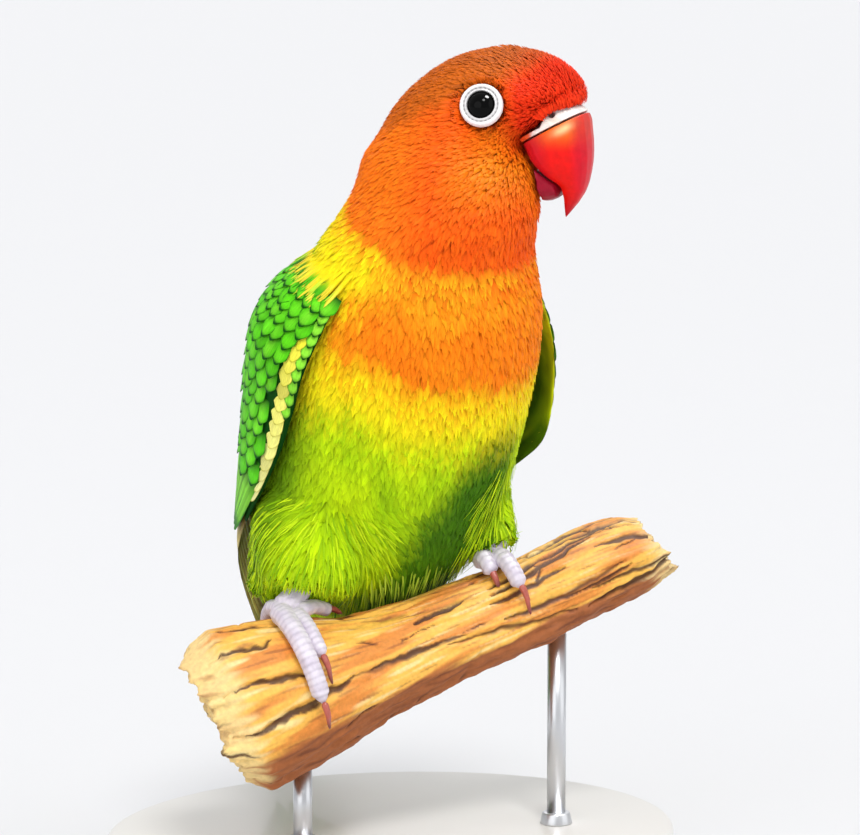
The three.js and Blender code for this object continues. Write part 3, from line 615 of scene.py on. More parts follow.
def plume_piece(name, middle, reach, count, long, hang, tones, seed):
    """Long thin streaks over the thighs and the lower belly that hang free at the tip."""
    draw = np.random.default_rng(seed)
    near = np.flatnonzero(np.sum(((root_spots - middle) / reach) ** 2, axis=1) < 1)
    chosen = draw.choice(near, size=min(count, len(near)), replace=False)
    starts, spots, ways = roots[chosen], root_spots[chosen], root_ways[chosen]
    count = len(chosen)
    rows = 6
    shares = np.linspace(0, 1, rows)
    across = np.linspace(-1, 1, 3)
    lie = lie_of_coat(spots, ways, draw.normal(0, 0.08, (count, 1)))
    lengths = draw.uniform(*long, count)
    spines, ups = coat_spines(starts, lie, lengths, draw.uniform(1.1, 1.35, count), rows)
    fall = np.array([0, 0.1, -1.0])
    free = smooth_step(0.4, 1, shares)[None, :, None] * (lengths * hang)[:, None, None] * MM
    spines = spines + free * unit(lie * 0.7 + fall)[:, None]
    widths = draw.uniform(0.09, 0.2, count) * MM
    half_widths = widths[:, None] * np.interp(shares, [0, 0.3, 0.75, 1], [0.6, 1, 0.8, 0.12])
    tone = mixed(*tones, draw.random((count, 1, 1, 1)))
    # Painted shade and light: each plume darker at its root and lighter at its free tip.
    tone = tone * np.interp(shares, [0, 1], [0.85, 1.1])[None, :, None, None]
    tone = np.broadcast_to(tone, (count, rows, len(across), 3))
    mesh = vane_mesh(
        name, spines, across_vanes(ups, lie), ups, half_widths, across, widths * 0.2,
        np.zeros((count, rows, len(across))), tone, coat_places(spots),
    )
    piece = new_piece(name, mesh, soft_feather)
    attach(piece, "root")


def face_fringe():
    """Short feathers round the bill's root that point over the upper edge of the cere."""
    draw = np.random.default_rng(51)
    cere_tree = BVHTree.FromObject(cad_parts["cere"], bpy.context.evaluated_depsgraph_get())
    near = [cere_tree.find_nearest(Vector(root), 2.6 * MM) for root in roots]
    up = head_spots(root_spots)[2]
    chosen = [n for n, found in enumerate(near) if found[0] is not None and up[n] > 0.3]
    starts, spots, ways = roots[chosen], root_spots[chosen], root_ways[chosen]
    targets = np.array([near[n][0] for n in chosen])
    count = len(chosen)
    rows = 4
    shares = np.linspace(0, 1, rows)
    across = np.linspace(-1, 1, 3)
    lie = unit(targets - starts + ways * (0.7 * MM))
    lengths = np.linalg.norm(targets - starts, axis=1) * draw.uniform(0.5, 0.78, count)
    rise = (0.45 + 0.35 * np.sin(shares * math.pi * 0.8))[None, :, None] * ways[:, None] * MM
    spines = starts[:, None] + lie[:, None] * (lengths[:, None] * shares[None])[..., None] + rise
    ups = np.repeat(ways[:, None], rows, axis=1)
    widths = np.full(count, 0.17 * MM)
    half_widths = widths[:, None] * np.array([0.7, 1, 0.8, 0.3])[None]
    tone = plumage(starts)[:, None, None] * draw.normal(1, 0.1, (count, 1, 1, 1))
    tone = np.broadcast_to(tone, (count, rows, len(across), 3))
    mesh = vane_mesh(
        "fringe", spines, across_vanes(ups, lie), ups, half_widths, across, widths * 0.2,
        np.zeros((count, rows, len(across))), tone, coat_places(spots),
    )
    fringe = new_piece("coat_fringe", mesh, soft_feather)
    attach(fringe, "root")


soft_feather = feather_finish("soft_feather", 0.6, (12, 2.2, 1), 0.84, 1.12)
roots, root_ways = scatter(skin_mesh, coat_spacing, 260000, 21)
root_spots = bird_spots(roots)
root_sides = np.where(root_spots[:, 2] > head_level, head_spots(root_spots)[1], body_angle(root_spots))
for level_name, bottom, top, slot in coat_levels:
    level = (root_spots[:, 2] > bottom) & (root_spots[:, 2] <= top)
    coat_piece(f"coat_{level_name}_left", np.flatnonzero(level & (root_sides >= 0)))
    coat_piece(f"coat_{level_name}_right", np.flatnonzero(level & (root_sides < 0)))
plume_piece("plumes_thigh_right", (-18, -4, 17), (12, 16, 11), 4200, (5, 8), 0.04, thigh_tones, 41)
plume_piece("plumes_foot_right", (-18, 0, 10), (13, 16, 5), 2000, (2.5, 4.5), 0.2, thigh_tones, 42)
plume_piece("plumes_thigh_left", (15.5, 0, 22), (6.5, 14, 14), 1700, (5, 9), 0.12, thigh_tones, 43)
plume_piece("plumes_foot_left", (16, 1, 16), (6, 7, 4), 900, (2.5, 4.5), 0.25, thigh_tones, 45)
plume_piece("plumes_belly", (2, 4, 9), (14, 16, 6.5), 1300, (4, 7.5), 0.3, belly_tones, 44)
face_fringe()

# The wings, folded along the flanks. Each has a thin arm under small scalloped coverts, with a
# pale strip along its front edge, then longer coverts, and the long flight feathers below. Thin
# feathers from the shoulder lap over its top.
fold_length = 93.0
fold = {
    "x": [-1.2, -1.6, -2, -2, -2, -2, -2, -2, -2, -2, -2, -2],
    "y": [-10, -7.9, -5, -0.8, 2.6, 6.2, 10.1, 14.6, 19, 24, 30.5, 37.5],
    "z": [63, 58.8, 53, 45.5, 38, 30.5, 23, 16, 9.5, 2, -7, -16],
    "half_width": [19.4, 22.4, 24.5, 24.3, 23.9, 23.5, 22.7, 21.8, 20.9, 19.8, 17.6, 15],
    "depth": [15.8, 17, 17.8, 18, 18, 17.8, 17.4, 16, 14, 11.6, 9.4, 8.6],
    "tilt": [20, 24, 26, 26, 26.5, 27, 27, 30, 33, 38, 40, 40],
    "front_left": [116, 110, 98, 80, 73, 86, 106, 117, 126, 136, 147, 158],
    "front_right": [62, 59, 58, 60, 65, 73, 85, 99, 113, 126, 141, 155],
    "stand_off": [0, 0, 0.3, 1.3, 1.7, 0.4, 0, 0, 0, 0, 0, 0],
    "rear": [112, 128, 147, 160, 168, 173, 175, 176, 176.5, 176, 175, 171],
}
wing_colours = {
    "scale": linear("58cf14"),
    "scale_light": linear("94ee3c"),
    "line": linear("0d4a0c"),
    "strip": linear("f6ee3e"),
    "strip_pale": linear("f5f3a0"),
    "strip_rim": linear("b9b22c"),
    "covert": linear("35a010"),
    "covert_light": linear("86d83a"),
    "flight": linear("dcc86c"),
    "flight_dark": linear("6e5418"),
    "olive_shaded": linear("4a6a10"),
    "olive": linear("90a418"),
    "olive_light": linear("cfe022"),
}
mantle_tones = [linear(code) for code in ("fbf04a", "c8e83a", "2f8a10", "58c81c", "f8e23a")]
# The width of the pale strip in millimetres, at shares of the way down the wing.
strip_gap_at = [0.05, 0.08, 0.12, 0.17, 0.22, 0.29, 0.36, 0.43, 0.48, 0.53]
strip_gap = [0, 1.6, 3, 3.9, 4.3, 4.4, 3.7, 2.6, 1.4, 0.3]
# A short scalloped feather and a long one: how far down it each row is, and how wide it is there.
scale_shares = np.array([0, 0.3, 0.55, 0.72, 0.84, 0.93, 1])
scale_outline = np.array([0.55, 0.85, 1, 1, 0.94, 0.8, 0.58])
scale_across = np.array([-1, -0.86, -0.55, -0.2, 0.2, 0.55, 0.86, 1])
long_shares = np.linspace(0, 1, 9)
long_outline = np.array([0.5, 0.75, 0.9, 0.98, 1, 1, 0.95, 0.8, 0.45])
long_across = np.array([-1, -0.92, -0.6, -0.3, -0.08, 0.08, 0.3, 0.6, 0.92, 1])


def along_fold(name, down):
    """A smooth value between the evenly spaced knots of the folded wing."""
    knots = np.array(fold[name], float)
    place = np.clip(down, -0.08, 1) * (len(knots) - 1)
    above = np.minimum(place, 0) * (knots[1] - knots[0])
    place = np.maximum(place, 0)
    left = np.minimum(np.floor(place).astype(int), len(knots) - 2)
    t = place - left
    start, end = knots[left], knots[left + 1]
    before, after = knots[np.maximum(left - 1, 0)], knots[np.minimum(left + 2, len(knots) - 1)]
    slope_a, slope_b, rise = (end - before) / 2, (after - start) / 2, end - start
    return above + (
        start + slope_a * t + (3 * rise - 2 * slope_a - slope_b) * t ** 2
        + (slope_a + slope_b - 2 * rise) * t ** 3
    )


class Wing:
    """One folded wing. Places on it are a share of the way down and degrees from the breast."""

    def __init__(self, name, side, shade_tint, arm_reach, stands_off, scale_inset, scale_lift, edge_inset):
        self.name = name
        self.side = side
        self.shade_tint = shade_tint
        self.arm_reach = arm_reach
        self.stands_off = stands_off
        self.scale_inset = scale_inset
        self.scale_lift = scale_lift
        self.edge_inset = edge_inset

    def front(self, down):
        return along_fold("front_" + self.name, down)

    def rear(self, down):
        return along_fold("rear", down)

    def between(self, down, share):
        """The angle at a share of the way from the front edge to the rear one."""
        return self.front(down) + share * (self.rear(down) - self.front(down))

    def inset(self, down, depth):
        """The angle that lies this many millimetres in from the front edge."""
        around = (along_fold("half_width", down) + along_fold("depth", down)) / 2
        return self.front(down) + np.degrees(depth / around)

    def arm_lift(self, down):
        """How far the arm's outer face stands off the fold."""
        return np.interp(down, [0, 0.15, 0.3, 0.45, 0.6, 1], [1.3, 1.5, 1.3, 0.8, 0.5, 0.2])

    def spot(self, down, angle, lift):
        """Points in metres, lifted off the fold by millimetres."""
        inward = np.clip((angle - self.front(down)) / (self.rear(down) - self.front(down)), 0, 1)
        lift = lift + along_fold("stand_off", down) * self.stands_off * (1 - inward)
        tilt = np.radians(along_fold("tilt", down))
        turn = np.radians(angle)
        wide = along_fold("half_width", down) + lift
        deep = along_fold("depth", down) + lift
        spots = np.stack([
            along_fold("x", down) + self.side * np.sin(turn) * wide,
            along_fold("y", down) - np.cos(tilt) * np.cos(turn) * deep,
            along_fold("z", down) - np.sin(tilt) * np.cos(turn) * deep,
        ], axis=-1)
        return np.array(bird_place) + spots * MM


def wing_vanes(wing, starts, ends, widths, shares, outline, across, lifts, roll, tip_round, tone):
    """Feathers laid on the fold from starts to ends, each (feathers, 2) of down and angle."""
    count = len(starts)
    share = shares[None, :]
    down = starts[:, :1] + (ends - starts)[:, :1] * share
    angle = starts[:, 1:] + (ends - starts)[:, 1:] * share
    lift = wing.arm_lift(down) + lifts[:, :1] + (lifts[:, 1:] - lifts[:, :1]) * share ** 0.8
    spines = wing.spot(down, angle, lift)
    ups = wing.spot(down, angle, lift + 0.6) - spines
    ups /= np.linalg.norm(ups, axis=2)[..., None]
    sides = np.cross(ups, np.gradient(spines, axis=1)) * wing.side
    sides /= np.maximum(np.linalg.norm(sides, axis=2), 1e-12)[..., None]
    lengths = np.linalg.norm(spines[:, -1] - spines[:, 0], axis=1)
    half_widths = widths[:, None] * MM / 2 * outline[None, :]
    near_tip = smooth_step(0.5, 1, shares)[None, :, None]
    pull = near_tip * (across ** 2)[None, None, :] * tip_round * widths[:, None, None] * MM
    pull = np.minimum(pull, lengths[:, None, None] * 0.3)
    middle = (starts + ends) / 2
    places = np.column_stack([
        0.05 + 0.9 * np.clip(middle[:, 1] / 180, 0, 1), 0.05 + 0.9 * np.clip(middle[:, 0], 0, 1),
    ])
    return [
        spines, sides + ups * roll, ups, half_widths, across, widths * MM * 0.04, pull,
        tone(count, shares, across), places,
    ]


def scalloped(wing, starts, ends, widths, lifts, tip_round, tone):
    """Short round feathers."""
    return wing_vanes(
        wing, starts, ends, widths, scale_shares, scale_outline, scale_across, lifts, 0.0, tip_round, tone
    )


def shaded(count, shares, across, middle, edge, root, rim, streaks, spread=0.08):
    """Vane colours: a dark root, a middle colour and a rim, with streaks down the vane."""
    s = np.abs(across)[None, None, :]
    t = shares[None, :, None]
    at_rim = smooth_step(rim, min(rim + 0.14, 1), np.maximum(t, s * smooth_step(0.2, 0.6, t)))
    at_root = smooth_step(0.45, 0.1, t) + 0 * s
    streak = feather_draw.normal(1, streaks, (count, 1, len(across), 1))
    whole = feather_draw.normal(1, spread, (count, 1, 1, 1))
    tones = np.broadcast_to(middle, (count, len(shares), len(across), 3)) * streak * whole
    return mixed(mixed(tones, root, at_root[..., None]), edge, at_rim[..., None])


def scale_vanes(wing):
    """The scalloped coverts in rows down the arm, each row staggered on the one above."""
    row_count, length, around = 13, 5.6, 20.5
    row_step = 3.25 / fold_length
    starts, ends, widths = [], [], []
    for row in range(row_count):
        tip = 0.05 + row * row_step
        width = 2.9 + 0.03 * row
        inset = max(np.interp(tip, strip_gap_at, strip_gap), wing.scale_inset)
        first = float(wing.inset(tip, inset + width * 0.15))
        last = float(wing.rear(tip)) - 3
        step = math.degrees(width * 0.86 / around)
        for angle in np.arange(first + (row % 2) * step / 2, last, step):
            shift = feather_draw.normal(0, 0.8)
            starts.append((tip - length / fold_length, angle + shift))
            ends.append((tip + feather_draw.normal(0, 0.3) / fold_length, angle + shift * 1.5))
            widths.append(width * 1.16)
    tips = wing.scale_lift + feather_draw.normal(0, 0.07, len(starts))
    lifts = np.column_stack([np.full(len(starts), 0.1), tips])

    def tone(count, shares, across):
        light = feather_draw.random((count, 1, 1, 1)) * 0.5
        centre = np.exp(-(across[None, None, :, None] / 0.5) ** 2)
        green, line = wing_colours["scale"] * wing.shade_tint, wing_colours["line"]
        middle = mixed(green, wing_colours["scale_light"] * wing.shade_tint, light * centre)
        return shaded(count, shares, across, middle, line, line, 0.8, 0.04)

    return scalloped(wing, np.array(starts), np.array(ends), np.array(widths), lifts, 0.32, tone)


def edge_vanes(wing):
    """Small scallops right along the front edge."""
    width, length, step = 2.1, 3.6, 2.5
    downs = np.arange(0.07, 0.31, step / fold_length)
    starts = np.column_stack([downs - length / fold_length, wing.inset(downs, 0.9 + wing.edge_inset)])
    ends = np.column_stack([downs, wing.inset(downs, 0.35 + wing.edge_inset)])
    lifts = np.tile([0.15, 0.75], (len(downs), 1))

    def tone(count, shares, across):
        light, line = wing_colours["scale_light"] * wing.shade_tint, wing_colours["line"]
        return shaded(count, shares, across, light, line, line, 0.78, 0.05)

    return scalloped(wing, starts, ends, np.full(len(downs), width), lifts, 0.32, tone)


def strip_vanes(wing):
    """The pale yellow strip between the edge and the arm."""
    length, step = 5.5, 2.6
    downs = np.arange(0.14, 0.53, step / fold_length)
    middle = np.interp(downs, strip_gap_at, strip_gap) * 0.5 + 0.35 * smooth_step(0.33, 0.24, downs)
    above = downs - length / fold_length
    starts = np.column_stack([above, wing.inset(above, middle)])
    ends = np.column_stack([downs, wing.inset(downs, middle)])
    lifts = np.tile([0.1, 0.5], (len(downs), 1))
    widths = np.interp(downs, [0.11, 0.2, 0.3, 0.4, 0.53], [1.8, 2.9, 3.4, 3, 0.9])

    def tone(count, shares, across):
        lower = np.linspace(0, 1, count)[:, None, None, None]
        pale = mixed(wing_colours["strip"], wing_colours["strip_pale"], lower)
        rim = wing_colours["strip_rim"] * wing.shade_tint
        return shaded(count, shares, across, pale * wing.shade_tint, rim, rim, 0.92, 0.05)

    return scalloped(wing, starts, ends, widths, lifts, 0.3, tone)


def mantle_vanes(wing):
    """Thin streaked feathers from the shoulder that lap over the wing's top edge."""
    count = 190
    share = np.sort(feather_draw.random(count))
    first, last = float(wing.front(0.0)) + 1, float(wing.rear(0.0)) + 6
    angles = first + (last - first) * share
    starts = np.column_stack([np.full(count, -0.06) + feather_draw.normal(0, 0.006, count), angles])
    reach = feather_draw.uniform(0.0, 0.045, count)
    ends = np.column_stack([reach, angles + feather_draw.normal(1, 1, count)])
    lifts = np.column_stack([np.full(count, -0.35), 0.75 + feather_draw.normal(0, 0.12, count)])
    kinds = np.stack(mantle_tones) * wing.shade_tint

    def tone(number, shares, across):
        picked = kinds[feather_draw.integers(0, len(kinds), number)][:, None, None]
        tones = shaded(number, shares, across, picked, picked * 0.7, picked * 0.9, 0.9, 0.08)
        root = smooth_step(0.62, 0.35, shares)[None, :, None, None]
        return mixed(tones, plume_colours["yellow"] * wing.shade_tint, root)

    widths = feather_draw.uniform(0.3, 0.75, count)
    outline = np.array([0.6, 0.9, 1, 0.9, 0.75, 0.5, 0.2])
    across = np.array([-1, -0.5, 0, 0.5, 1])
    return wing_vanes(wing, starts, ends, widths, scale_shares, outline, across, lifts, 0.0, 0.2, tone)


def flight_vanes(wing, roots_at, tips_at, count, width, lift, colours, rim, roll):
    """Long feathers in a fan, from the first and last root to the first and last tip.

    A root or a tip is a share of the way down and a share of the way from front to rear.
    """
    share = np.linspace(0, 1, count)[:, None]
    starts, ends = (mixed(np.array(first), np.array(last), share) for first, last in (roots_at, tips_at))
    for places in (starts, ends):
        places[:, 1] = wing.between(places[:, 0], places[:, 1])
    lifts = np.tile(lift, (count, 1))
    middle, edge = colours

    def tone(number, shares, across):
        tones = shaded(number, shares, across, middle, edge, edge * 0.6, rim, 0.13)
        quill = np.exp(-(across / 0.09) ** 2)[None, None, :, None]
        return mixed(tones, edge * 0.5, quill * 0.6)

    return wing_vanes(
        wing, starts, ends, np.full(count, width), long_shares, long_outline, long_across, lifts, roll,
        0.35, tone,
    )


def wing_arm(wing):
    """The thin arm and hand that the feathers are set in, olive inside the left wing's edge."""
    form = bmesh.new()
    bmesh.ops.create_grid(form, x_segments=24, y_segments=60, size=1)
    for v in form.verts:
        down = (1 - v.co.y) / 2 * wing.arm_reach
        angle = wing.between(down, (v.co.x * wing.side + 1) / 2)
        v.co = Vector(wing.spot(np.array(down), np.array(angle), wing.arm_lift(down)))
    bmesh.ops.solidify(form, geom=form.faces[:], thickness=0.8 * MM)
    bmesh.ops.recalc_face_normals(form, faces=form.faces)
    mesh = mesh_from(form, "arm")
    spots = bird_spots(rows_of(mesh, "co"))
    tones = np.tile(wing_colours["line"] * 0.9, (len(spots), 1))
    if wing.name == "left":
        downs = np.interp(-spots[:, 2], -np.array(fold["z"]), np.linspace(0, 1, len(fold["z"])))
        turned = np.degrees(np.arctan2(
            np.abs(spots[:, 0] + 2) / along_fold("half_width", downs),
            (along_fold("y", downs) - spots[:, 1]) / along_fold("depth", downs),
        ))
        inset = np.radians(turned - wing.front(downs)) * 20
        leaf = smooth_step(0.62, 0.5, downs)
        # Painted shade: the olive is darkest deep inside the edge, towards the body; the light rim is the
        # wing's own edge.
        for colour, inner, outer in (("olive_shaded", 14, 8), ("olive", 7, 4), ("olive_light", 3.2, 1.2)):
            tones = tinted(tones, wing_colours[colour], leaf * smooth_step(inner, outer, inset))
        low_line = smooth_step(0.36, 0.4, downs) * smooth_step(4.2, 3.2, inset) * 0.85
        tones = tinted(tones, wing_colours["line"], low_line)
        streak = ripple(np.column_stack([downs * 90, inset * 0.5, inset * 0]), 2.4, 61)
        tones = tones * (1 + 0.25 * streak[:, None])
    paint(mesh, np.clip(tones, 0, 1))
    return mesh


wing_vane_finish = feather_finish("wing_feather", 0.45, (16, 3, 1), 0.86, 1.12)
arm_down = feather_finish("arm_down", 0.7, (3, 3, 1), 0.95, 1.05)
# Painted shade: the left wing's colours are all darkened to 0.8, the right wing's are not.
left_wing = Wing(
    "left", side=1, shade_tint=0.8, arm_reach=0.66, stands_off=1, scale_inset=7, scale_lift=0.35, edge_inset=2.0
)
right_wing = Wing(
    "right", side=-1, shade_tint=1.0, arm_reach=0.56, stands_off=0, scale_inset=0, scale_lift=0.95, edge_inset=0
)
for wing in (left_wing, right_wing):
    arm = new_piece(f"wing_{wing.name}_arm", wing_arm(wing), arm_down)
    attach(arm, "root")
    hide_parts(f"wing_{wing.name}")
    green = (wing_colours["covert"] * wing.shade_tint, wing_colours["line"] * 1.6)
    streaked = (wing_colours["covert_light"] * wing.shade_tint, wing_colours["covert"] * 0.6)
    brown = (wing_colours["flight"] * wing.shade_tint, wing_colours["flight_dark"])
    tiers = {
        "scales": scale_vanes(wing),
        "mantle": mantle_vanes(wing),
        "edge": edge_vanes(wing),
        "strip": strip_vanes(wing),
        "coverts": flight_vanes(
            wing, ((0.42, 0.04), (0.36, 0.93)), ((0.62, 0.03), (0.54, 0.93)), count=20, width=2.3,
            lift=(0.3, 0.95), colours=streaked, rim=0.72, roll=0.12,
        ),
        "secondaries": flight_vanes(
            wing, ((0.42, 0.3), (0.42, 0.9)), ((0.66, 0.28), (0.74, 0.93)), count=9, width=5.4,
            lift=(0.15, 0.6), colours=green, rim=0.93, roll=0.1,
        ),
        "primaries": flight_vanes(
            wing, ((0.5, 0.05), (0.48, 0.5)), ((0.95, 0.1), (0.76, 0.5)), count=10, width=4.4,
            lift=(0.1, 0.55), colours=brown, rim=0.95, roll=0.1,
        ),
    }
    for tier, parts in tiers.items():
        piece = new_piece(f"wing_{wing.name}_{tier}", vane_mesh(tier, *parts), wing_vane_finish)
        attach(piece, "root")
        if tier == "primaries":
            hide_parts(f"wing_{wing.name}")

# The tail: twelve stiff feathers in a flat fan, the longest in the middle, with short coverts
# over their roots. The outer ones carry an orange band and a dark bar.
tail_slope = math.radians(50)
tail_root = np.array([-2.0, 27, 5])
tail_along = np.array([0, math.cos(tail_slope), -math.sin(tail_slope)])
tail_up = np.array([0, math.sin(tail_slope), math.cos(tail_slope)])
tail_length = 47.0
tail_green = (linear("3c9a2c"), linear("1d5a2a"))
tail_covert = (linear("4faa24"), linear("2b6fae"))
tail_orange = linear("e8521c")
tail_dark = linear("16301a")
tail_vane_width = 4.6
tail_vane_finish = feather_finish("tail_feather", 0.45, (14, 3, 1), 0.85, 1.12)


def tail_vanes(name, pairs, reach, spread, root_spread, start, layers, rise, colours, barred=False):
    """Pairs of feathers from the outer to the middle one, which the pairs of values describe."""
    share = np.tile(np.linspace(0, 1, pairs), 2)
    side = np.repeat([1.0, -1.0], pairs)
    count = len(side)
    shares = np.linspace(0, 1, 12)
    across = np.array([-1, -0.9, -0.6, -0.3, -0.07, 0.07, 0.3, 0.6, 0.9, 1])
    far = start + (np.interp(share, [0, 1], reach) - start)[:, None] * shares[None, :]
    aside = side[:, None] * (
        np.interp(share, [0, 1], root_spread)[:, None] * (1 - shares)
        + np.interp(share, [0, 1], spread)[:, None] * shares
    )
    lift = np.interp(share, [0, 1], layers)[:, None] + rise * shares[None, :] + side[:, None] * 0.08
    lift = lift - 0.012 * aside ** 2
    spots = (
        tail_root + tail_along * (far * tail_length)[..., None]
        + np.array([1.0, 0, 0]) * aside[..., None] + tail_up * lift[..., None]
    )
    spines = np.array(bird_place) + spots * MM
    ups = np.broadcast_to(tail_up, spines.shape)
    sides = np.broadcast_to([1.0, 0, 0], spines.shape) - ups * (side[:, None, None] * 0.1)
    outline = np.interp(shares, [0, 0.2, 0.6, 0.85, 0.94, 1], [0.7, 0.94, 1, 0.86, 0.66, 0.3])
    half_widths = np.full(count, tail_vane_width * MM / 2)[:, None] * outline[None, :]
    pull = smooth_step(0.8, 1, shares)[None, :, None] * (across ** 2)[None, None, :] * 0.9 * MM
    pull = np.broadcast_to(pull, (count, len(shares), len(across)))
    middle, edge = colours
    tones = shaded(count, shares, across, middle, edge, edge, 0.96, 0.08)
    if barred:
        outer = (1 - share)[:, None, None, None]
        t = shares[None, :, None, None]
        orange = smooth_step(0.5, 0.58, t) * smooth_step(0.82, 0.76, t) * outer
        dark = smooth_step(0.76, 0.8, t) * smooth_step(0.92, 0.88, t) * (0.3 + 0.7 * outer)
        tones = mixed(tones, tail_orange, np.clip(orange * 1.3, 0, 1))
        tones = mixed(tones, tail_dark, np.clip(dark, 0, 1))
    places = np.column_stack([0.5 + aside.mean(1) / 30, 0.1 + 0.7 * share])
    mesh = vane_mesh(
        name, spines, sides, ups, half_widths, across, np.full(count, 0.1 * MM), pull, tones, places
    )
    piece = new_piece(name, mesh, tail_vane_finish)
    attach(piece, "root")
    return piece


tail = tail_vanes(
    "tail_feathers", pairs=6, reach=(0.76, 0.96), spread=(7.4, 1.3), root_spread=(3.2, 0.8), start=0.02,
    layers=(-1.2, 0.9), rise=0, colours=tail_green, barred=True,
)
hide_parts("tail")
tail_vanes(
    "tail_coverts_above", pairs=4, reach=(0.34, 0.5), spread=(5, 1), root_spread=(3.6, 0.8), start=-0.1,
    layers=(0.9, 1.3), rise=0.6, colours=tail_covert,
)
tail_vanes(
    "tail_coverts_below", pairs=4, reach=(0.36, 0.5), spread=(4.6, 1), root_spread=(3.4, 0.8), start=-0.1,
    layers=(-1.7, -1.9), rise=-0.2, colours=tail_covert,
)


# The bill: one piece of smooth red horn, hooked, over a short lower half. A strip of white bare
# skin, the cere, lies over its root and holds the nostrils.
def painted_finish(name, roughness, grain, low, high, coat=0.0, bump_height=0.0):
    """A finish from the vertex colours, with a fine mottle, and a bump in millimetres."""
    made, shader, nodes, links, noise = mottled_material(
        name, roughness, grain, 4, low, high, 0.4, bump_height
    )
    shader.inputs["Coat Weight"].default_value = coat
    shader.inputs["Coat Roughness"].default_value = 0.12
    place = nodes.new("ShaderNodeTexCoord")
    links.new(place.outputs["Object"], noise.inputs["Vector"])
    return made


def smooth_piece(name, node, voxel, rounds, finish, colour_at, reshape=None):
    """A finely divided smooth copy of a CAD node, painted by place, which stands for it."""
    mesh = remeshed(joined_copy([node], 0.0), voxel * MM, rounds)
    if reshape:
        move_points(mesh, reshape(rows_of(mesh, "co"), rows_of(mesh, "normal")))
    paint(mesh, np.clip(colour_at(rows_of(mesh, "co")), 0, 1))
    piece = new_piece(name, mesh, finish)
    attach(piece, "root")
    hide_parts(node)


def plain(code, points):
    """One colour at every point."""
    return np.tile(linear(code), (len(points), 1))


def upper_bill_colour(points):
    """Orange under the cere, a pale painted highlight, and darker at the cheek, the ridge and the tip."""
    ahead, _, up = head_spots(bird_spots(points))
    made = tinted(plain("ec1510", points), linear("f4701c"), smooth_step(-6, -1.8, up) * 0.9)
    # Painted highlight: a pale patch on the top of the bill.
    pale = np.exp(-((ahead - 14.2) / 1.5) ** 2 - ((up + 2.1 - (ahead - 14.2) * 0.45) / 0.7) ** 2)
    made = tinted(made, linear("ffdca0"), pale * 0.85)
    made = tinted(made, linear("c8182c"), smooth_step(11.6, 8.4, ahead + up * 0.12) * 0.8)
    made = tinted(made, linear("d0102a"), smooth_step(14.6, 16.6, ahead) * 0.8)
    return tinted(made, linear("a80c22"), smooth_step(-12, -17, up) * 0.8)


def lower_bill_colour(points):
    return plain("98102a", points)


def ridged(points, normals):
    """Faint growth ridges down the bill."""
    ahead, _, up = head_spots(bird_spots(points))
    return points + normals * (np.sin((ahead * 1.6 - up * 0.9)) * 0.02 * MM)[:, None]


def cere_colour(points):
    """White, with cream painted shade round the nostril, and feather red where it ends at the cheek."""
    ahead, _, up = head_spots(bird_spots(points))
    # Painted shade: a cream patch in the middle of the cere, round the nostril.
    cream_shade = np.exp(-((ahead - 12.6) / 1.6) ** 2 - ((up + 0.6) / 0.7) ** 2)
    made = tinted(plain("f4f0ea", points), linear("e9dcc8"), cream_shade * 0.7)
    made = tinted(made, linear("e4571e"), smooth_step(9.6, 8.4, ahead))
    nostril = np.exp(-(((ahead - 12.1) / 0.75) ** 2 + ((up - 0.3) / 0.75) ** 2))
    return tinted(made, linear("8c2c3c"), np.clip(nostril, 0, 1) * 0.9)


horn = painted_finish("red_horn", 0.38, 900, 0.9, 1.06, coat=0.05)
horn.node_tree.nodes["Principled BSDF"].inputs["Specular IOR Level"].default_value = 0.14
bare_skin = painted_finish("bare_skin", 0.5, 1800, 0.93, 1.04, bump_height=0.05)
smooth_piece("bill_upper_horn", "bill_upper", 0.14, 16, horn, upper_bill_colour, ridged)
smooth_piece("bill_lower_horn", "bill_lower", 0.14, 14, horn, lower_bill_colour)
smooth_piece("cere_skin", "cere", 0.12, 3, bare_skin, cere_colour)

# The eyes: a dark glossy ball in a ring of white bare skin, with a raised lid at its inner rim and
# a fine crease round it, greyed as painted shade, as are the lid's edge and the ring's inner part.
lid_radius = 2.2
crease_radius = 2.74
ring_stands_out = 1.62
# The ring's section, as distance from its axis and height over the eye's own plane.
ring_profile = [
    (2.2, -0.7), (2.21, -0.1), (2.26, 0.18), (2.36, 0.3), (2.48, 0.26), (2.6, 0.12), (2.72, 0.04),
    (2.8, 0.1), (2.9, 0.22), (3.04, 0.28), (3.18, 0.24), (3.3, 0.14), (3.4, 0), (3.47, -0.3), (3.48, -0.9),
]
eye_gloss, eye_shader, _, _ = new_material("wet_eye", 0.03)
eye_shader.inputs["Base Color"].default_value = (0.001, 0.001, 0.001, 1)
eye_shader.inputs["Specular IOR Level"].default_value = 0.1


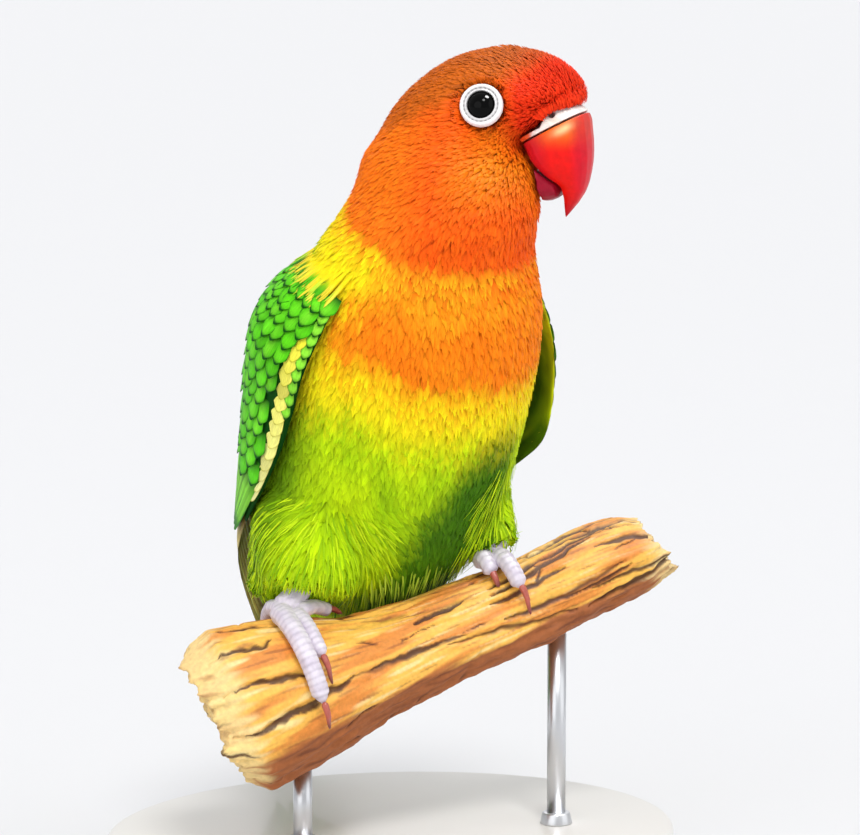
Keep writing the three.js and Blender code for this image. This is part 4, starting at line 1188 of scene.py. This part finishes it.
def ring_form_and_tones():
    """The ring of skin round an eye, about the upright axis, and its vertices' colours."""
    form = bmesh.new()
    profile = [form.verts.new((r * MM, 0, z * MM)) for r, z in ring_profile]
    for a, b in zip(profile, profile[1:]):
        form.edges.new((a, b))
    bmesh.ops.spin(
        form, geom=form.verts[:] + form.edges[:], cent=(0, 0, 0), axis=(0, 0, 1),
        angle=2 * math.pi, steps=96, use_merge=True, use_duplicate=False,
    )
    bmesh.ops.remove_doubles(form, verts=form.verts, dist=1e-6)
    bmesh.ops.recalc_face_normals(form, faces=form.faces)
    tones = []
    for v in form.verts:
        radius = math.hypot(v.co.x, v.co.y) / MM
        turned = math.atan2(v.co.y, v.co.x)
        # Painted shade: the crease, the lid's edge and the ring's inner part are darkened.
        crease_shade = math.exp(-((radius - crease_radius) / 0.12) ** 2) * (0.75 + 0.25 * math.sin(turned * 24))
        lid_shade = math.exp(-((radius - lid_radius) / 0.1) ** 2)
        inner = smooth_step(2.8, 2.6, radius)
        tones.append(linear("f6f3f3") * (1 - 0.85 * crease_shade) * (1 - 0.6 * lid_shade) * (1 - 0.14 * inner))
        v.co.z += (0.025 * math.sin(turned * 26) + 0.015 * math.sin(turned * 41)) * MM * (radius > 2.4)
    return form, np.array(tones)


for side_name in ("left", "right"):
    low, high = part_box(f"eye_{side_name}")
    ball_middle = (low + high) / 2
    eye_form = bmesh.new()
    bmesh.ops.create_icosphere(eye_form, subdivisions=5, radius=(high.z - low.z) / 2)
    bmesh.ops.translate(eye_form, verts=eye_form.verts, vec=ball_middle)
    ball = new_piece(f"eyeball_{side_name}", mesh_from(eye_form, "eye"), eye_gloss)
    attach(ball, "root")
    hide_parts(f"eye_{side_name}")

    ring_points = rows_of(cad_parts[f"eye_ring_{side_name}"].data, "co")
    ring_middle = Vector((ring_points.min(0) + ring_points.max(0)) / 2)
    _, _, spread_axes = np.linalg.svd(ring_points - ring_points.mean(0))
    outward = Vector(spread_axes[2])
    if outward.dot(ring_middle - ball_middle) < 0:
        outward = -outward
    ring_form, ring_tones = ring_form_and_tones()
    turn = outward.to_track_quat("Z", "Y").to_matrix().to_4x4()
    ring_form.transform(Matrix.Translation(ball_middle + outward * ring_stands_out * MM) @ turn)
    ring_mesh = mesh_from(ring_form, "ring")
    paint(ring_mesh, ring_tones)
    ring = new_piece(f"eyering_{side_name}", ring_mesh, bare_skin)
    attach(ring, "root")
    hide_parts(f"eye_ring_{side_name}")

# The feet: four toes each, two forward and two back, in pale skin with a row of broad scales over
# the top of each toe. The claws are dark red horn, and lie on the branch.
perch_slope = math.radians(17)
perch_along = np.array([math.cos(perch_slope), 0, math.sin(perch_slope)])
perch_up = np.array([-math.sin(perch_slope), 0, math.cos(perch_slope)])
perch_middle = np.array([5.5, 0, 1.5])
# How far from the branch's axis each foot's toes run over it.
foot_reach = {"left": 7.6, "right": 12.2}
front_toes = (2, 3)
foot_skin = painted_finish("foot_skin", 0.5, 1500, 0.92, 1.05, bump_height=0.06)
claw_horn = painted_finish("claw_horn", 0.3, 900, 0.85, 1.1, coat=0.3)


def perch_spots(points):
    """How far along the branch, the angle round it from its top to its front, and how far out."""
    spots = bird_spots(points) - perch_middle
    rise = spots @ perch_up
    ahead = -spots[:, 1]
    return spots @ perch_along, np.arctan2(ahead, rise), np.hypot(ahead, rise)


def scale_groove(points, reach, width):
    """1 in the grooves between the scales of the toes and the shank, and 0 on the scales."""
    _, angle, out = perch_spots(points)
    on_shank = smooth_step(reach + 4, reach + 6, out)
    phase = angle * (reach + 1) * (1 - on_shank) + out * on_shank
    return np.exp(-((phase - np.round(phase)) / width) ** 2)


def foot_piece(side_name, reach):
    def scaled(points, normals):
        return points + normals * ((0.18 - 0.07 * scale_groove(points, reach, 0.16)) * MM)[:, None]

    def foot_colour(points):
        patch = np.clip(ripple((points / MM), 2.2, 8) * 0.5 + 0.4, 0, 1)
        made = tinted(plain("e3dbe6", points), linear("cfc4d4"), patch)
        return tinted(made, linear("9a8fa6"), scale_groove(points, reach, 0.2) * 0.32)

    node = f"foot_{side_name}"
    smooth_piece(f"{node}_skin", node, 0.2, 3, foot_skin, foot_colour, scaled)


def claw_piece(side_name, toe):
    node = f"claw_{side_name}_{toe}"
    claw_angle = perch_spots(rows_of(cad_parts[node].data, "co"))[1]
    start, end = claw_angle.min(), claw_angle.max()

    def claw_colour(points):
        share = (perch_spots(points)[1] - start) / (end - start)
        to_tip = share if toe in front_toes else 1 - share
        return tinted(plain("b4574a", points), linear("5a1f1c"), smooth_step(0.45, 1, to_tip) * 0.85)

    smooth_piece(f"{node}_horn", node, 0.12, 3, claw_horn, claw_colour)


for side_name, reach in foot_reach.items():
    foot_piece(side_name, reach)
    for toe in range(1, 5):
        claw_piece(side_name, toe)

# The perch: a short cut length of a dry branch, its bark gone on top, with long splits in the
# golden wood, darker bark left underneath, and broken pale ends.
wood_draw = np.random.default_rng(5)
perch_half = 41.0
perch_colours = {
    "gold": linear("f6bb4e"),
    "amber": linear("dd8030"),
    "pale": linear("f6dc98"),
    "bark": linear("a05a2a"),
    "bark_dark": linear("63301a"),
    "split": linear("3f1b0a"),
}
# Each split: its middle along the branch, the angle round it, half its length, how deep, its slant.
splits = [
    (wood_draw.uniform(-40, 40), wood_draw.uniform(-0.7, 2.0), wood_draw.uniform(4, 13),
     wood_draw.uniform(0.5, 1.2), wood_draw.uniform(-0.02, 0.02))
    for _ in range(26)
] + [(-33, 1.05, 7, 1.1, 0.008), (-28, 1.5, 9, 1.1, -0.01), (-35, 0.55, 5, 0.9, 0), (-31, 0.2, 8, 1, 0.01)]
flake_count = 72
flake_middles = np.column_stack([
    wood_draw.uniform(-44, 44, flake_count), wood_draw.uniform(-math.pi, math.pi, flake_count),
])
flake_half_length = 4.6
split_sinks = 0.6
end_slant = 0.2
bare_wood = painted_finish("bare_wood", 0.75, 1400, 0.88, 1.1, bump_height=0.12)


def grain(along, angle, along_pace, round_pace, size, seed):
    """Waves drawn out along the branch."""
    return ripple(np.column_stack([along * along_pace, angle * round_pace, along * 0]), size, seed)


def end_grain(angle, out, size, seed):
    """Waves across the branch's ends, in flat layers from back to front."""
    rise, ahead = out * np.cos(angle), out * np.sin(angle)
    return ripple(np.column_stack([rise, ahead * 0.3, rise * 0]), size, seed)


def split_depth(points):
    """How deep the splits in the wood are, from 0 to 1: long ones, and a net between flakes."""
    along, angle, out = perch_spots(points)
    wander = ripple(points / MM, 7, 31) * 0.05 + ripple(points / MM, 2.5, 32) * 0.02
    depth = np.zeros(len(points))
    for middle, at, half_length, strength, slant in splits:
        near = (along - middle) / half_length
        line = at + slant * (along - middle) + wander
        width = (0.42 * np.clip(1 - near ** 2, 0, 1) + 0.16) / np.maximum(out, 4)
        depth = np.maximum(depth, strength * np.exp(-((angle - line) / width) ** 2) * (np.abs(near) < 1))
    first, second = np.full(len(points), 99.0), np.full(len(points), 99.0)
    bent = along + ripple(points / MM, 5, 38) * 1.4
    for middle, at in flake_middles:
        turned = (angle + wander - at + math.pi) % (2 * math.pi) - math.pi
        away = np.hypot((bent - middle) / flake_half_length, turned * 8.5 / 1.25)
        second = np.minimum(second, np.maximum(first, away))
        first = np.minimum(first, away)
    open_here = smooth_step(-0.15, 0.55, ripple(points / MM, 11, 39))
    net = np.exp(-((second - first) / 0.27) ** 2) * open_here * 0.9
    return np.clip(np.maximum(depth, net), 0, 1)


def grained(points, normals):
    """Ribs of grain, rough bark below, sunk splits, and splinters that stand out at the ends.

    The left end slants, so that its front stands out further than its back.
    """
    along, angle, out = perch_spots(points)
    ribs, fine = grain(along, angle, 0.12, 9, 2.2, 33), grain(along, angle, 0.3, 22, 2.4, 34)
    bark = smooth_step(1.9, 2.2, np.abs(angle)) * ripple(points / MM, 3.2, 35)
    height = ribs * 0.16 + fine * 0.1 + bark * 0.25 - split_depth(points) * split_sinks
    splinters = np.round(end_grain(angle, out, 2.4, 45) * 2.5) / 2.5 + end_grain(angle, out, 1.2, 46) * 0.3
    end = smooth_step(perch_half - 4, perch_half, np.abs(along)) * np.sign(along)
    slant = end_slant * (out * np.sin(angle)) * smooth_step(perch_half - 12, perch_half, -along)
    return points + (normals * height[:, None] + perch_along * (splinters * end - slant)[:, None]) * MM


def perch_colour(points):
    """Golden wood with amber and pale streaks, bark below, pale ends and dark splits."""
    c = perch_colours
    along, angle, out = perch_spots(points)
    streaks, thin = grain(along, angle, 0.12, 9, 2.6, 36), grain(along, angle, 0.25, 24, 2.4, 37)
    made = np.tile(c["gold"], (len(points), 1))
    made = tinted(made, c["amber"], smooth_step(-0.5, 0.7, streaks + thin * 0.5) * 0.85)
    made = tinted(made, c["pale"], smooth_step(0.4, 1.1, thin - streaks * 0.4) * 0.75)
    under = smooth_step(1.95, 2.15, angle + streaks * 0.1) + smooth_step(-1.2, -1.5, angle)
    under = np.clip(under, 0, 1)
    made = tinted(made, c["bark"], under)
    made = tinted(made, c["bark_dark"], under * smooth_step(0, 1, thin) * 0.7)
    made = tinted(made, c["bark"], smooth_step(0.45, 1.1, grain(along, angle, 0.2, 30, 2.0, 48)) * 0.65)
    at_end = smooth_step(perch_half - 4.5, perch_half - 0.5, np.abs(along) + thin * 1.8)
    made = tinted(made, c["pale"], at_end * 0.75)
    made = tinted(made, c["bark"], at_end * smooth_step(0.3, 1, end_grain(angle, out, 1.1, 47)) * 0.55)
    return tinted(made, c["split"], smooth_step(0.25, 0.8, split_depth(points)) * 0.92)


smooth_piece("perch_wood", "perch", 0.3, 3, bare_wood, perch_colour, grained)

# The stand: a flat oval base in pale lacquer, and two steel rods, each pressed into a small collar
# on the base and let into the branch above.
base_bevel = 1.2
collar_height = 2.0
collar_bevel = 0.25
lacquer, lacquer_shader, _, _ = new_material("pale_lacquer", 0.35)
lacquer_shader.inputs["Base Color"].default_value = (0.78, 0.76, 0.72, 1)
lacquer_shader.inputs["Coat Weight"].default_value = 0.3
base_low, base_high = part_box("stand_base")
base_size = base_high - base_low
base_form = bmesh.new()
bmesh.ops.create_circle(base_form, cap_ends=True, segments=128, radius=base_size.x / 2)
bmesh.ops.scale(base_form, vec=(1, base_size.y / base_size.x, 1), verts=base_form.verts)
raised = bmesh.ops.extrude_face_region(base_form, geom=base_form.faces[:])
top_points = [item for item in raised["geom"] if isinstance(item, bmesh.types.BMVert)]
bmesh.ops.translate(base_form, verts=top_points, vec=(0, 0, base_size.z))
bmesh.ops.recalc_face_normals(base_form, faces=base_form.faces)
rims = [edge for edge in base_form.edges if len(edge.link_faces) == 2 and edge.calc_face_angle(0) > 1]
bmesh.ops.bevel(
    base_form, geom=rims, offset=base_bevel * MM, segments=5, profile=0.5, affect="EDGES", material=-1
)
stand_base = new_piece("stand_base_slab", mesh_from(base_form, "base"), lacquer)
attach(stand_base, "root")
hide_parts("stand_base")

steel, steel_shader, steel_nodes, steel_links = new_material("brushed_steel", 0.3, 1.0)
steel_shader.inputs["Base Color"].default_value = (0.62, 0.63, 0.65, 1)
steel_place = steel_nodes.new("ShaderNodeTexCoord")
steel_stretch = steel_nodes.new("ShaderNodeMapping")
steel_stretch.inputs["Scale"].default_value = (3000, 3000, 40)
steel_lines = steel_nodes.new("ShaderNodeTexNoise")
steel_lines.inputs["Scale"].default_value = 1
steel_range = steel_nodes.new("ShaderNodeMapRange")
steel_range.inputs["To Min"].default_value = 0.22
steel_range.inputs["To Max"].default_value = 0.42
steel_links.new(steel_place.outputs["Object"], steel_stretch.inputs["Vector"])
steel_links.new(steel_stretch.outputs["Vector"], steel_lines.inputs["Vector"])
steel_links.new(steel_lines.outputs["Fac"], steel_range.inputs["Value"])
steel_links.new(steel_range.outputs["Result"], steel_shader.inputs["Roughness"])


def upright_cone(form, middle, bottom, height, bottom_radius, top_radius):
    """Adds a closed round shape that stands on this height, and gives its vertices."""
    place = Matrix.Translation((middle.x, middle.y, bottom + height / 2))
    return bmesh.ops.create_cone(
        form, cap_ends=True, segments=48, radius1=bottom_radius, radius2=top_radius, depth=height,
        matrix=place,
    )["verts"]


for number in (1, 2):
    rod_low, rod_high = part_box(f"stand_rod_{number}")
    rod_middle = (rod_low + rod_high) / 2
    rod_radius = (rod_high.x - rod_low.x) / 2
    rod_form = bmesh.new()
    upright_cone(rod_form, rod_middle, base_high.z, rod_high.z - base_high.z, rod_radius, rod_radius)
    collar = upright_cone(
        rod_form, rod_middle, base_high.z, collar_height * MM, rod_radius * 1.75, rod_radius * 1.45
    )
    collar_rims = {edge for v in collar for edge in v.link_edges if edge.calc_face_angle(0) > 1}
    bmesh.ops.bevel(
        rod_form, geom=list(collar_rims), offset=collar_bevel * MM, segments=3, profile=0.5,
        affect="EDGES", material=-1,
    )
    rod = new_piece(f"stand_rod_{number}_steel", mesh_from(rod_form, "rod"), steel)
    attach(rod, "root")
    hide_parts(f"stand_rod_{number}")
